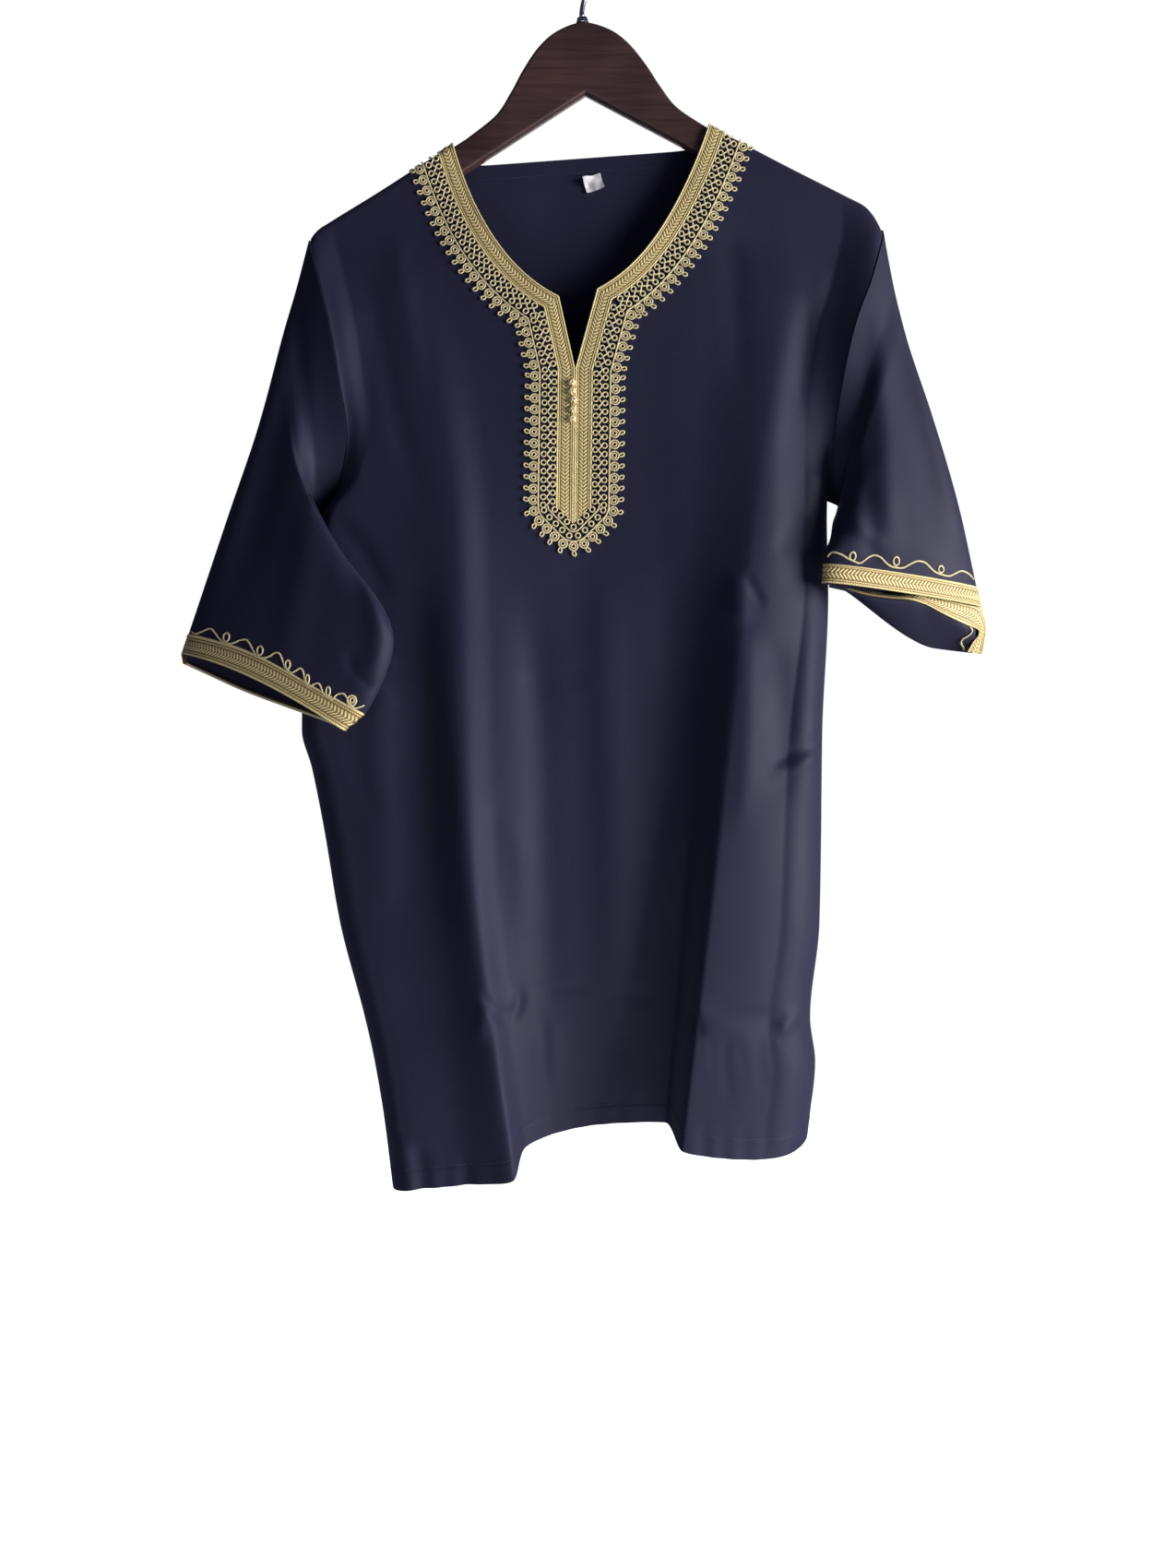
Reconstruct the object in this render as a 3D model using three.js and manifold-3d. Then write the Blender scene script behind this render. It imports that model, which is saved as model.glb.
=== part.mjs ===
// Jabador: a navy short-sleeved tunic trimmed with gold braid and lace, hung on a wooden hanger.
// Millimetres, +Z up, +X to the viewer's right, the front faces -Y.
// The origin is the inside top of the hook, where it rests on a rail.
import * as THREE from 'three';
import { mergeVertices } from 'three/addons/utils/BufferGeometryUtils.js';
import Module from 'manifold-3d';

const wasm = await Module();
wasm.setup();

// Hanger sizes, measured in the hanger's own upright position
const HANGER_ROLL = THREE.MathUtils.degToRad(2.5);
const HANGER_TOP = -70;
const HANGER_THICKNESS = 12;
const HANGER_EDGE = 3;
const CROWN_FOOT = { x: 98, z: -160 };
const ARM_END = { x: 214, z: -227.5 };
const ARM_DEPTH = 22;
const ARCH_APEX = -127;
const HOOK_WIRE = 4;
const HOOK_RADIUS = 21;
const COLLAR_RADIUS = 5;
const COLLAR_HEIGHT = 5;

// Cloth, seams and what lies on the cloth
const CLOTH = 1.3;
const SEAM_GAP = 0.3;
const SLEEVE_GAP = 0.65;
const TRIM_GAP = 0.45;
const TRIM_THICKNESS = 1.1;
const TRIM_START = 0.8;

// Shoulder: the cloth folds over the arm's top edge and lies close to its faces
const SHOULDER_RISE = 2.8;
const SHOULDER_DEPTH = 8.7;
const SHOULDER_ROUND = 9;
const SHOULDER_SQUARENESS = 2.6;
const TIP_DROOP = 0.04;
const DRAPE_START = 14;
const DRAPE_FULL = 95;

// Armhole: the share of each side edge that it takes, and how far its middle stands from the seam plane.
// Below it the side turns into a full round, which the power brings in only near the underarm.
const ARMHOLE_SHARE = 0.3;
const ARMHOLE_BULGE = 17.5;
const ROUNDING_POWER = 14;

// Outline of the body from the front, by height
const SIDES = [
  { height: -245, left: -216, right: 243 },
  { height: -285, left: -205, right: 231 },
  { height: -320, left: -196, right: 218 },
  { height: -366, left: -188, right: 208 },
  { height: -405, left: -183, right: 203 },
  { height: -440, left: -190, right: 201 },
  { height: -470, left: -207, right: 200 },
  { height: -530, left: -217, right: 201 },
  { height: -640, left: -223, right: 196 },
  { height: -670, left: -215, right: 195.5 },
  { height: -720, left: -205, right: 195 },
  { height: -795, left: -192, right: 193.5 },
  { height: -870, left: -172, right: 186 },
  { height: -905, left: -164, right: 190 },
  { height: -945, left: -157, right: 186 },
  { height: -1005, left: -149, right: 178 },
];

// Folds run down the cloth; each has its place and its depth from the seam plane at four heights.
// The outermost folds are placed by their inset from the side edge instead.
const FOLD_HEIGHTS = [-250, -470, -720, -1000];
const FRONT_FOLDS = [
  { fold: 'left roll', share: 0.08, inset: [20, 16, 24, 18], depth: [9, 14, 27, 46], hem: -999 },
  { fold: 'left valley', share: 0.17, x: [-163, -146, -120, -90], depth: [10, 20, 33, 50], hem: -994 },
  { fold: 'left crest', share: 0.28, x: [-133, -98, -86, -48], depth: [12, 36, 54, 64], hem: -987 },
  { fold: 'left wall', share: 0.36, x: [-101, -69, -63, -38], depth: [13, 29, 42, 40], hem: -967 },
  { fold: 'middle hollow', share: 0.5, x: [0, 10, 20, 16], depth: [16, 26, 25, 12], hem: -955 },
  { fold: 'right wall', share: 0.62, x: [104.5, 88, 84, 65], depth: [13, 31, 28, 18], hem: -952 },
  { fold: 'right crest', share: 0.7, x: [168, 139, 110, 75], depth: [12, 44, 60, 72], hem: -963 },
  { fold: 'right tube', share: 0.86, inset: [31, 22, 35, 42], depth: [10, 28, 50, 62], hem: -971 },
];
const FRONT_HEM = { left: -1005, right: -961 };
const BACK_FOLDS = [
  { fold: 'left roll', share: 0.1, inset: [24, 18, 30, 22], depth: [9, 18, 28, 44], hem: -1000 },
  { fold: 'left crest', share: 0.3, x: [-101, -108, -96, -66], depth: [11, 30, 46, 58], hem: -994 },
  { fold: 'middle hollow', share: 0.5, x: [4, 8, 12, 10], depth: [12, 20, 18, 14], hem: -954 },
  { fold: 'right crest', share: 0.7, x: [104.5, 122, 112, 92], depth: [11, 32, 50, 62], hem: -972 },
  { fold: 'right roll', share: 0.88, inset: [34, 20, 28, 32], depth: [9, 24, 42, 52], hem: -970 },
];

// Columns between one fold and the next, and rows down the armhole and below it
const FRONT_COLUMNS = [3, 2, 3, 3, 4, 3, 3, 3, 4];
const BACK_COLUMNS = [3, 3, 4, 4, 3, 3];
const ARMHOLE_ROWS = [0, 0.0035, 0.017, 0.04, 0.085, 0.15, 0.25, 0.37, 0.5, 0.63, 0.75, 0.85, 0.93, 0.98, 1];
const LOWER_ROWS = 12;

// Neckline: each side falls in one curve to the top of the slit; the slit closes into the placket
const NECK = {
  left: { side: -1, shoulder: [-101, -168.2], pull: [-73.8, -265.6], corner: [-15.5, -295.3] },
  right: { side: 1, shoulder: [104.5, -153.1], pull: [68.4, -261.9], corner: [14.5, -289] },
};
const SLIT_FOOT = [-2.7, -353];
const PLACKET_TIP = [-4.1, -477.9];
const BACK_NECK_DIP = 14;
const BACK_NECK_SQUARENESS = 16;
const BRAID_WIDTH = 14.2;
const LACE_WIDTH = 25.5;
const LACE_FOOT = -464;
const PICOT_DEPTH = 3.6;

// Sleeves: flattened rings from the armhole to the cuff; along is the share of the sleeve's length
const SLEEVES = {
  left: {
    side: -1,
    backDroop: 7,
    rings: [
      { along: 0, outer: [-217, 0, -247], inner: [-208, 0, -473], front: 20, back: 20 },
      { along: 0.12, outer: [-226, -1, -282], inner: [-220, -3, -478], front: 20, back: 20 },
      { along: 0.25, outer: [-236, -3, -318], inner: [-217, -24, -488], front: 24, back: 18 },
      { along: 0.5, outer: [-256, -5, -396], inner: [-176, -47, -516], front: 24, back: 16 },
      { along: 0.75, outer: [-284, -6, -480], inner: [-142, -62, -574], front: 22, back: 14 },
      { along: 0.92, outer: [-312, -6, -564], inner: [-160, -62, -624], front: 18, back: 12 },
      { along: 1, outer: [-317, -6, -580], inner: [-180, -58, -642], front: 16, back: 12 },
    ],
  },
  right: {
    side: 1,
    backDroop: 36,
    rings: [
      { along: 0, outer: [243, 0, -247], inner: [201, 0, -456], front: 20, back: 20 },
      { along: 0.12, outer: [251, -1, -282], inner: [209, -5, -461], front: 20, back: 20 },
      { along: 0.25, outer: [260, -3, -318], inner: [203, -18, -475], front: 24, back: 18 },
      { along: 0.5, outer: [282, -5, -390], inner: [198, -35, -491], front: 24, back: 16 },
      { along: 0.75, outer: [304, -6, -468], inner: [193, -43, -503], front: 22, back: 16 },
      { along: 0.92, outer: [318, -6, -526], inner: [192, -42, -512], front: 17, back: 14 },
      { along: 1, outer: [322, -6, -542], inner: [191, -42, -527], front: 15, back: 14 },
    ],
  },
};
const SLEEVE_ROWS = [0, 0.06, 0.15, 0.28, 0.42, 0.56, 0.7, 0.82, 0.92, 1];
const CUFF_ROW = 8;
const SETTLE = 0.4;
const SLEEVE_SWELL = 0.8;
const FRONT_DROOP_ANGLE = 0.25;
const BACK_DROOP_ANGLES = [1.05, 2.6];
const DROOP_FROM = 0.45;

// Knotted buttons and the blank label
const KNOT_RADIUS = 3.3;
const KNOT_PLACES = [[-5.2, -365.7], [-5.2, -372.6], [-4, -379.6], [-4.5, -387.2], [-4.9, -394.6]];
const LABEL = { x: 11, z: -194.5, width: 13, height: 11, thickness: 0.6, tilt: 0.25 };

const NAVY = new THREE.MeshStandardMaterial({ color: 0x20223c, roughness: 0.85, side: THREE.DoubleSide });
const GOLD = new THREE.MeshStandardMaterial({ color: 0xcbb57c, roughness: 0.55, metalness: 0.25 });
const LACE_GOLD = new THREE.MeshStandardMaterial({ color: 0xd2c08e, roughness: 0.6, metalness: 0.15 });
const WOOD = new THREE.MeshStandardMaterial({ color: 0x43252a, roughness: 0.4 });
const STEEL = new THREE.MeshStandardMaterial({ color: 0xb9babd, roughness: 0.3, metalness: 1 });
const WHITE = new THREE.MeshStandardMaterial({ color: 0xdedbdd, roughness: 0.9 });

const jabador = new THREE.Group();

function addPiece(name, geometry, material, parent = jabador) {
  const piece = new THREE.Mesh(geometry, material);
  piece.name = name;
  parent.add(piece);
}

const { lerp, clamp, smoothstep } = THREE.MathUtils;

// Smooth curve through a table's stops that never swings past them
function curveThrough(stops, values) {
  const last = stops.length - 1;
  const rises = values.slice(1).map((value, i) => (value - values[i]) / (stops[i + 1] - stops[i]));
  const slopes = values.map((_, i) => {
    if (i === 0) return rises[0];
    if (i === last) return rises[last - 1];
    const product = rises[i - 1] * rises[i];
    return product <= 0 ? 0 : (2 * product) / (rises[i - 1] + rises[i]);
  });
  return (at) => {
    const inside = clamp(at, stops[0], stops[last]);
    let i = 0;
    while (i < last - 1 && inside > stops[i + 1]) i += 1;
    const span = stops[i + 1] - stops[i];
    const t = (inside - stops[i]) / span;
    const t2 = t * t;
    const t3 = t2 * t;
    return (2 * t3 - 3 * t2 + 1) * values[i] + (t3 - 2 * t2 + t) * span * slopes[i]
      + (3 * t2 - 2 * t3) * values[i + 1] + (t3 - t2) * span * slopes[i + 1];
  };
}

// A height table read downwards, so its stops rise
const byHeight = (heights, values) => {
  const curve = curveThrough(heights.map((height) => -height), values);
  return (z) => curve(-z);
};

// Where a point of the upright hanger lies once the hanger is rolled on its hook
function rolled(x, z) {
  return {
    x: x * Math.cos(HANGER_ROLL) - z * Math.sin(HANGER_ROLL),
    z: x * Math.sin(HANGER_ROLL) + z * Math.cos(HANGER_ROLL),
  };
}

// Height of the shoulder line: along the arms' tops, drooping past their tips, straight across the neck
function armHeight(side, x) {
  const foot = rolled(side * CROWN_FOOT.x, CROWN_FOOT.z);
  const end = rolled(side * ARM_END.x, ARM_END.z);
  const past = Math.max(0, side * (x - end.x));
  const slope = (end.z - foot.z) / (end.x - foot.x);
  return foot.z + slope * (x - foot.x) - TIP_DROOP * past * past + SHOULDER_RISE;
}

function shoulderHeight(x) {
  const [left, right] = [NECK.left.shoulder[0], NECK.right.shoulder[0]];
  if (x < left) return armHeight(-1, x);
  if (x > right) return armHeight(1, x);
  return lerp(armHeight(-1, left), armHeight(1, right), (x - left) / (right - left));
}

const sideHeights = SIDES.map((row) => row.height);
const leftSide = byHeight(sideHeights, SIDES.map((row) => row.left));
const rightSide = byHeight(sideHeights, SIDES.map((row) => row.right));

// One body panel as a rule that turns (across, down), each 0 to 1, into a point of its outer face
function panelRule(folds, hemEnds, facing) {
  const shares = [0, ...folds.map((fold) => fold.share), 1];
  const placeOf = (fold, i) => {
    if (fold.x) return byHeight(FOLD_HEIGHTS, fold.x);
    const inset = byHeight(FOLD_HEIGHTS, fold.inset);
    return i === 0 ? (z) => leftSide(z) + inset(z) : (z) => rightSide(z) - inset(z);
  };
  const places = [leftSide, ...folds.map(placeOf), rightSide];
  const depths = folds.map((fold) => byHeight(FOLD_HEIGHTS, fold.depth));
  const hemLine = curveThrough(shares, [hemEnds.left, ...folds.map((fold) => fold.hem), hemEnds.right]);
  const topPlaces = curveThrough(shares, places.map((place) => place(FOLD_HEIGHTS[0])));

  return (across, down) => {
    const top = shoulderHeight(topPlaces(across));
    const z = lerp(top, hemLine(across), down);
    const below = top - z;
    const opened = Math.min(1, down / ARMHOLE_SHARE);
    const edge = SHOULDER_DEPTH * (1 - opened) + 4 * ARMHOLE_BULGE * opened * (1 - opened) + SEAM_GAP / 2;
    const drape = smoothstep(below, DRAPE_START, DRAPE_FULL);
    const stationDepths = depths.map((depth) => lerp(SHOULDER_DEPTH, depth(z), drape));
    const x = curveThrough(shares, places.map((place) => place(z)));
    const depth = curveThrough(shares, [edge, ...stationDepths, edge]);

    let placeX = x(across);
    let placeDepth = depth(across);
    const roundness = lerp(0.2, 1, opened ** ROUNDING_POWER);
    const turn = (near, far, share) => {
      const angle = share * Math.PI / 2;
      placeX = lerp(x(near), x(far), lerp(share, 1 - Math.cos(angle), roundness));
      placeDepth = lerp(depth(near), depth(far), lerp(share, Math.sin(angle), roundness));
    };
    const first = shares[1];
    const final = shares[shares.length - 2];
    if (across < first) turn(0, first, across / first);
    if (across > final) turn(1, final, (1 - across) / (1 - final));

    const wrap = below < SHOULDER_ROUND
      ? (1 - (1 - below / SHOULDER_ROUND) ** SHOULDER_SQUARENESS) ** (1 / SHOULDER_SQUARENESS)
      : 1;
    const fromSeam = Math.max(SEAM_GAP / 2, placeDepth * wrap);
    return new THREE.Vector3(placeX, facing * fromSeam, z);
  };
}

// Stops between the shares of neighbouring folds
function stopsBetween(marks, counts) {
  const stops = [0];
  counts.forEach((count, i) => {
    for (let step = 1; step <= count; step += 1) stops.push(lerp(marks[i], marks[i + 1], step / count));
  });
  return stops;
}

// Outward normals of a grid of points; the facing point settles which way is out
function gridNormals(grid, outward, closed = false) {
  const cols = grid[0].length;
  return grid.map((row, r) => row.map((point, c) => {
    const left = closed ? row[(c + cols - 1) % cols] : row[Math.max(0, c - 1)];
    const right = closed ? row[(c + 1) % cols] : row[Math.min(cols - 1, c + 1)];
    const above = grid[Math.max(0, r - 1)][c];
    const under = grid[Math.min(grid.length - 1, r + 1)][c];
    const normal = right.clone().sub(left).cross(under.clone().sub(above)).normalize();
    return normal.multiplyScalar(outward);
  }));
}

const moveGrid = (grid, normals, distance) => grid.map((row, r) => (
  row.map((point, c) => point.clone().addScaledVector(normals[r][c], distance))
));

// Closed body between two grids of points with the same rows and columns
function bodyBetween(outer, inner, closed = false) {
  const rows = outer.length;
  const cols = outer[0].length;
  const behind = rows * cols;
  const at = (r, c) => r * cols + (c % cols);
  const faces = [];
  const quad = (a, b, c, d) => faces.push(a, b, c, a, c, d);
  const spans = closed ? cols : cols - 1;
  for (let r = 0; r < rows - 1; r += 1) {
    for (let c = 0; c < spans; c += 1) {
      quad(at(r, c), at(r + 1, c), at(r + 1, c + 1), at(r, c + 1));
      quad(behind + at(r, c), behind + at(r, c + 1), behind + at(r + 1, c + 1), behind + at(r + 1, c));
    }
  }
  const end = rows - 1;
  for (let c = 0; c < spans; c += 1) {
    quad(at(0, c), at(0, c + 1), behind + at(0, c + 1), behind + at(0, c));
    quad(at(end, c + 1), at(end, c), behind + at(end, c), behind + at(end, c + 1));
  }
  for (let r = 0; r < end && !closed; r += 1) {
    quad(at(r + 1, 0), at(r, 0), behind + at(r, 0), behind + at(r + 1, 0));
    quad(at(r, cols - 1), at(r + 1, cols - 1), behind + at(r + 1, cols - 1), behind + at(r, cols - 1));
  }
  const points = [...outer.flat(), ...inner.flat()];
  const volume = faces.reduce((sum, _, i) => {
    if (i % 3) return sum;
    const [a, b, c] = [points[faces[i]], points[faces[i + 1]], points[faces[i + 2]]];
    return sum + a.dot(b.clone().cross(c));
  }, 0);
  const geometry = new THREE.BufferGeometry().setFromPoints(points);
  geometry.setIndex(volume < 0 ? faces.reverse() : faces);
  return geometry;
}

function toSolid(geometry) {
  const bare = geometry.clone();
  bare.deleteAttribute('normal');
  bare.deleteAttribute('uv');
  const merged = mergeVertices(bare, 1e-4);
  return new wasm.Manifold(new wasm.Mesh({
    numProp: 3,
    vertProperties: new Float32Array(merged.attributes.position.array),
    triVerts: new Uint32Array(merged.index.array),
  }));
}

function toGeometry(solid) {
  const mesh = solid.getMesh();
  const geometry = new THREE.BufferGeometry();
  geometry.setAttribute('position', new THREE.BufferAttribute(mesh.vertProperties, 3));
  geometry.setIndex(new THREE.BufferAttribute(mesh.triVerts, 1));
  return geometry;
}

// Prism of an outline in the XZ plane, from one depth to another along Y
function prism(outline, from, to) {
  const geometry = new THREE.ExtrudeGeometry(new THREE.Shape(outline), {
    depth: to - from,
    bevelEnabled: false,
  });
  return geometry.rotateX(Math.PI / 2).translate(0, to, 0);
}

const along = (point, direction, distance) => (
  new THREE.Vector2(point.x + direction.x * distance, point.y + direction.y * distance)
);
const flat = ([x, z]) => new THREE.Vector2(x, z);

// Edge of the neckline moved out by a distance: the curve, the slit's side and the placket's side
function necklineEdge(leg, distance, steps) {
  const [shoulder, pull, corner] = [flat(leg.shoulder), flat(leg.pull), flat(leg.corner)];
  const foot = flat(SLIT_FOOT);
  const tip = flat(PLACKET_TIP);
  const curve = new THREE.QuadraticBezierCurve(shoulder, pull, corner);
  const away = (direction) => new THREE.Vector2(direction.y, -direction.x).multiplyScalar(-leg.side);
  const slitWay = foot.clone().sub(corner).normalize();
  const placketWay = tip.clone().sub(foot).normalize();
  const slitOut = away(slitWay);
  const placketOut = away(placketWay);
  const moved = (t) => along(curve.getPoint(t), away(curve.getTangent(t)), distance);

  const search = (low, high, passed) => {
    let [a, b] = [low, high];
    for (let i = 0; i < 40; i += 1) {
      const middle = (a + b) / 2;
      if (passed(moved(middle))) b = middle;
      else a = middle;
    }
    return (a + b) / 2;
  };
  const start = search(0, 0.5, (point) => point.y < shoulderHeight(point.x) - TRIM_START);
  const stop = search(0.3, 1, (point) => point.clone().sub(corner).dot(slitOut) < distance);
  const bend = slitOut.clone().add(placketOut).normalize();
  const bendPoint = along(foot, bend, distance / bend.dot(slitOut));
  const points = [];
  for (let i = 0; i <= steps; i += 1) points.push(moved(lerp(start, stop, i / steps)));
  return { curve: points, bend: bendPoint, foot: along(tip, placketOut, distance) };
}

// Points at equal steps along a run of points
function spaced(points, count) {
  const path = new THREE.CurvePath();
  for (let i = 1; i < points.length; i += 1) path.add(new THREE.LineCurve(points[i - 1], points[i]));
  return Array.from({ length: count + 1 }, (_, i) => path.getPointAt(i / count));
}

// Front and back panels
const frontRule = panelRule(FRONT_FOLDS, FRONT_HEM, -1);
const backRule = panelRule(BACK_FOLDS, FRONT_HEM, 1);
const downStops = [
  ...ARMHOLE_ROWS.map((share) => share * ARMHOLE_SHARE),
  ...Array.from({ length: LOWER_ROWS }, (_, i) => lerp(ARMHOLE_SHARE, 1, (i + 1) / LOWER_ROWS)),
];
const marksOf = (folds) => [0, ...folds.map((fold) => fold.share), 1];

function panelGrids(rule, folds, columns, outward) {
  const acrossStops = stopsBetween(marksOf(folds), columns);
  const outer = downStops.map((down) => acrossStops.map((across) => rule(across, down)));
  const normals = gridNormals(outer, outward);
  const lastColumn = acrossStops.length - 1;
  downStops.forEach((down, r) => {
    normals[r].forEach((normal, c) => {
      const onSide = c === 0 || c === lastColumn;
      const onSeam = r === 0 || (onSide && down >= ARMHOLE_SHARE);
      if (onSeam) normal.setY(0).normalize();
      if (onSide && down >= ARMHOLE_SHARE) normal.set(c === 0 ? -1 : 1, 0, 0);
    });
  });
  return { outer, inner: moveGrid(outer, normals, -CLOTH), normals };
}

const front = panelGrids(frontRule, FRONT_FOLDS, FRONT_COLUMNS, -1);
const back = panelGrids(backRule, BACK_FOLDS, BACK_COLUMNS, 1);

const NECK_STEPS = 12;
const neckEdges = {
  left: necklineEdge(NECK.left, 0, NECK_STEPS),
  right: necklineEdge(NECK.right, 0, NECK_STEPS),
};
// The cut for the neck reaches well above the shoulder line and right through the cloth
const ABOVE = 60;
const THROUGH = 4;
const neckOutline = [
  flat([NECK.left.shoulder[0] - THROUGH, NECK.left.shoulder[1] + ABOVE]),
  flat([NECK.left.shoulder[0] - 0.1, NECK.left.shoulder[1] + 2]),
  ...neckEdges.left.curve,
  flat(SLIT_FOOT),
  ...neckEdges.right.curve.toReversed(),
  flat([NECK.right.shoulder[0] + 0.1, NECK.right.shoulder[1] + 2]),
  flat([NECK.right.shoulder[0] + THROUGH, NECK.right.shoulder[1] + ABOVE]),
];
const frontCut = toSolid(prism(neckOutline, -ABOVE, THROUGH));
addPiece('front_panel', toGeometry(toSolid(bodyBetween(front.outer, front.inner)).subtract(frontCut)), NAVY);

// The back neck dips a little below the line between the shoulders, in a long shallow curve
const backNeckPoints = Array.from({ length: NECK_STEPS * 2 + 1 }, (_, i) => {
  const share = (1 - Math.cos((i / NECK_STEPS) * Math.PI / 2)) / 2;
  const x = lerp(NECK.left.shoulder[0], NECK.right.shoulder[0], share);
  const chord = lerp(NECK.left.shoulder[1], NECK.right.shoulder[1], share);
  return flat([x, chord - BACK_NECK_DIP * (1 - (2 * share - 1) ** BACK_NECK_SQUARENESS)]);
});
const backOutline = [
  flat([NECK.left.shoulder[0], NECK.left.shoulder[1] + ABOVE]),
  ...backNeckPoints,
  flat([NECK.right.shoulder[0], NECK.right.shoulder[1] + ABOVE]),
];
const backCut = toSolid(prism(backOutline, -THROUGH, ABOVE));
addPiece('back_panel', toGeometry(toSolid(bodyBetween(back.outer, back.inner)).subtract(backCut)), NAVY);

// A point of a panel's faceted face and its normal, found from its place seen from the front
function onPanel(grids, x, z) {
  const { outer, normals } = grids;
  const corners = [[0, 0], [1, 0], [1, 1], [0, 1]];
  for (let r = 0; r < outer.length - 1; r += 1) {
    for (let c = 0; c < outer[0].length - 1; c += 1) {
      const places = corners.map(([dr, dc]) => outer[r + dr][c + dc]);
      const ways = corners.map(([dr, dc]) => normals[r + dr][c + dc]);
      for (const [i, j, k] of [[0, 1, 2], [0, 2, 3]]) {
        const [a, b, d] = [places[i], places[j], places[k]];
        const area = (b.x - a.x) * (d.z - a.z) - (d.x - a.x) * (b.z - a.z);
        const second = ((x - a.x) * (d.z - a.z) - (d.x - a.x) * (z - a.z)) / area;
        const third = ((b.x - a.x) * (z - a.z) - (x - a.x) * (b.z - a.z)) / area;
        const first = 1 - second - third;
        if (Math.min(first, second, third) > -1e-6) {
          const mix = (list) => list[i].clone().multiplyScalar(first)
            .addScaledVector(list[j], second).addScaledVector(list[k], third);
          return { point: mix(places), normal: mix(ways).normalize() };
        }
      }
    }
  }
  throw new Error(`no cloth at ${x.toFixed(1)}, ${z.toFixed(1)}`);
}

// Flat trim laid on the front between two edges with the same number of points
function trimBetween(insideEdge, outsideEdge, acrossSteps, thickness) {
  const rows = insideEdge.map((inside, i) => Array.from({ length: acrossSteps + 1 }, (_, c) => {
    const spot = inside.clone().lerp(outsideEdge[i], c / acrossSteps);
    return onPanel(front, spot.x, spot.y);
  }));
  const lift = (distance) => rows.map((row) => (
    row.map(({ point, normal }) => point.clone().addScaledVector(normal, distance))
  ));
  return bodyBetween(lift(TRIM_GAP + thickness), lift(TRIM_GAP));
}

// Steps along each leg of the trim: a few close ones over the shoulder, then even ones
const BRAID_STEPS = { curve: 26, slit: 9, placket: 17 };
const LACE_STEPS = { curve: 37, slit: 8, placket: 25, tip: 9 };

// The trim's edge over the shoulder gets extra points, because the cloth turns there
function overShoulder(points) {
  const [first, second] = points;
  const near = [0, 0.08, 0.22, 0.5].map((share) => first.clone().lerp(second, share));
  return [...near, ...points.slice(1)];
}

// Neck braid: one band down each side, its end mitred to the placket's point
for (const [name, leg] of Object.entries(NECK)) {
  const edgeAt = (distance) => {
    const edge = necklineEdge(leg, distance, NECK_STEPS * 3);
    const end = edge.foot.clone();
    end.y += distance;
    const corner = edge.curve.at(-1);
    return [
      ...overShoulder(spaced(edge.curve, BRAID_STEPS.curve)),
      ...spaced([corner, edge.bend], BRAID_STEPS.slit).slice(1),
      ...spaced([edge.bend, end], BRAID_STEPS.placket).slice(1),
    ];
  };
  const inside = edgeAt(SEAM_GAP / 2);
  const band = trimBetween(inside, edgeAt(BRAID_WIDTH), 2, TRIM_THICKNESS);
  addPiece(`neck_braid_${name}`, band, GOLD);
}

// Lace edging: down the left, round the placket's point and up the right, its edge in picots
function laceEdge(leg, distance, rounded) {
  const edge = necklineEdge(leg, distance, NECK_STEPS * 3);
  const side = leg.side;
  const tip = flat(PLACKET_TIP);
  const insideEnd = edge.foot.clone();
  insideEnd.y += distance - SEAM_GAP;
  const low = tip.clone().setY(tip.y - SEAM_GAP * 2);
  const outsideEnd = edge.foot.clone().setY(LACE_FOOT);
  const reach = Math.abs(outsideEnd.x - tip.x);
  const end = rounded ? outsideEnd : insideEnd;
  const turn = Array.from({ length: LACE_STEPS.tip + 1 }, (_, i) => {
    const angle = (i / LACE_STEPS.tip) * Math.PI / 2;
    if (!rounded) return insideEnd.clone().lerp(low, i / LACE_STEPS.tip);
    return flat([tip.x + side * reach * Math.cos(angle), LACE_FOOT - reach * Math.sin(angle)]);
  });
  return [
    ...overShoulder(spaced(edge.curve, LACE_STEPS.curve)),
    ...spaced([edge.curve.at(-1), edge.bend], LACE_STEPS.slit).slice(1),
    ...spaced([edge.bend, end], LACE_STEPS.placket).slice(1),
    ...turn.slice(1),
  ];
}

function bothSides(distance, rounded) {
  const left = laceEdge(NECK.left, distance, rounded);
  const right = laceEdge(NECK.right, distance, rounded);
  return [...left, ...right.slice(0, -1).toReversed()];
}

const laceInside = bothSides(BRAID_WIDTH + SEAM_GAP, false);
const laceOutside = bothSides(BRAID_WIDTH + LACE_WIDTH, true).map((point, i) => {
  const notch = i % 2 ? 0 : PICOT_DEPTH / LACE_WIDTH;
  return point.clone().lerp(laceInside[i], notch);
});
addPiece('neck_lace', trimBetween(laceInside, laceOutside, 2, TRIM_THICKNESS), LACE_GOLD);

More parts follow.
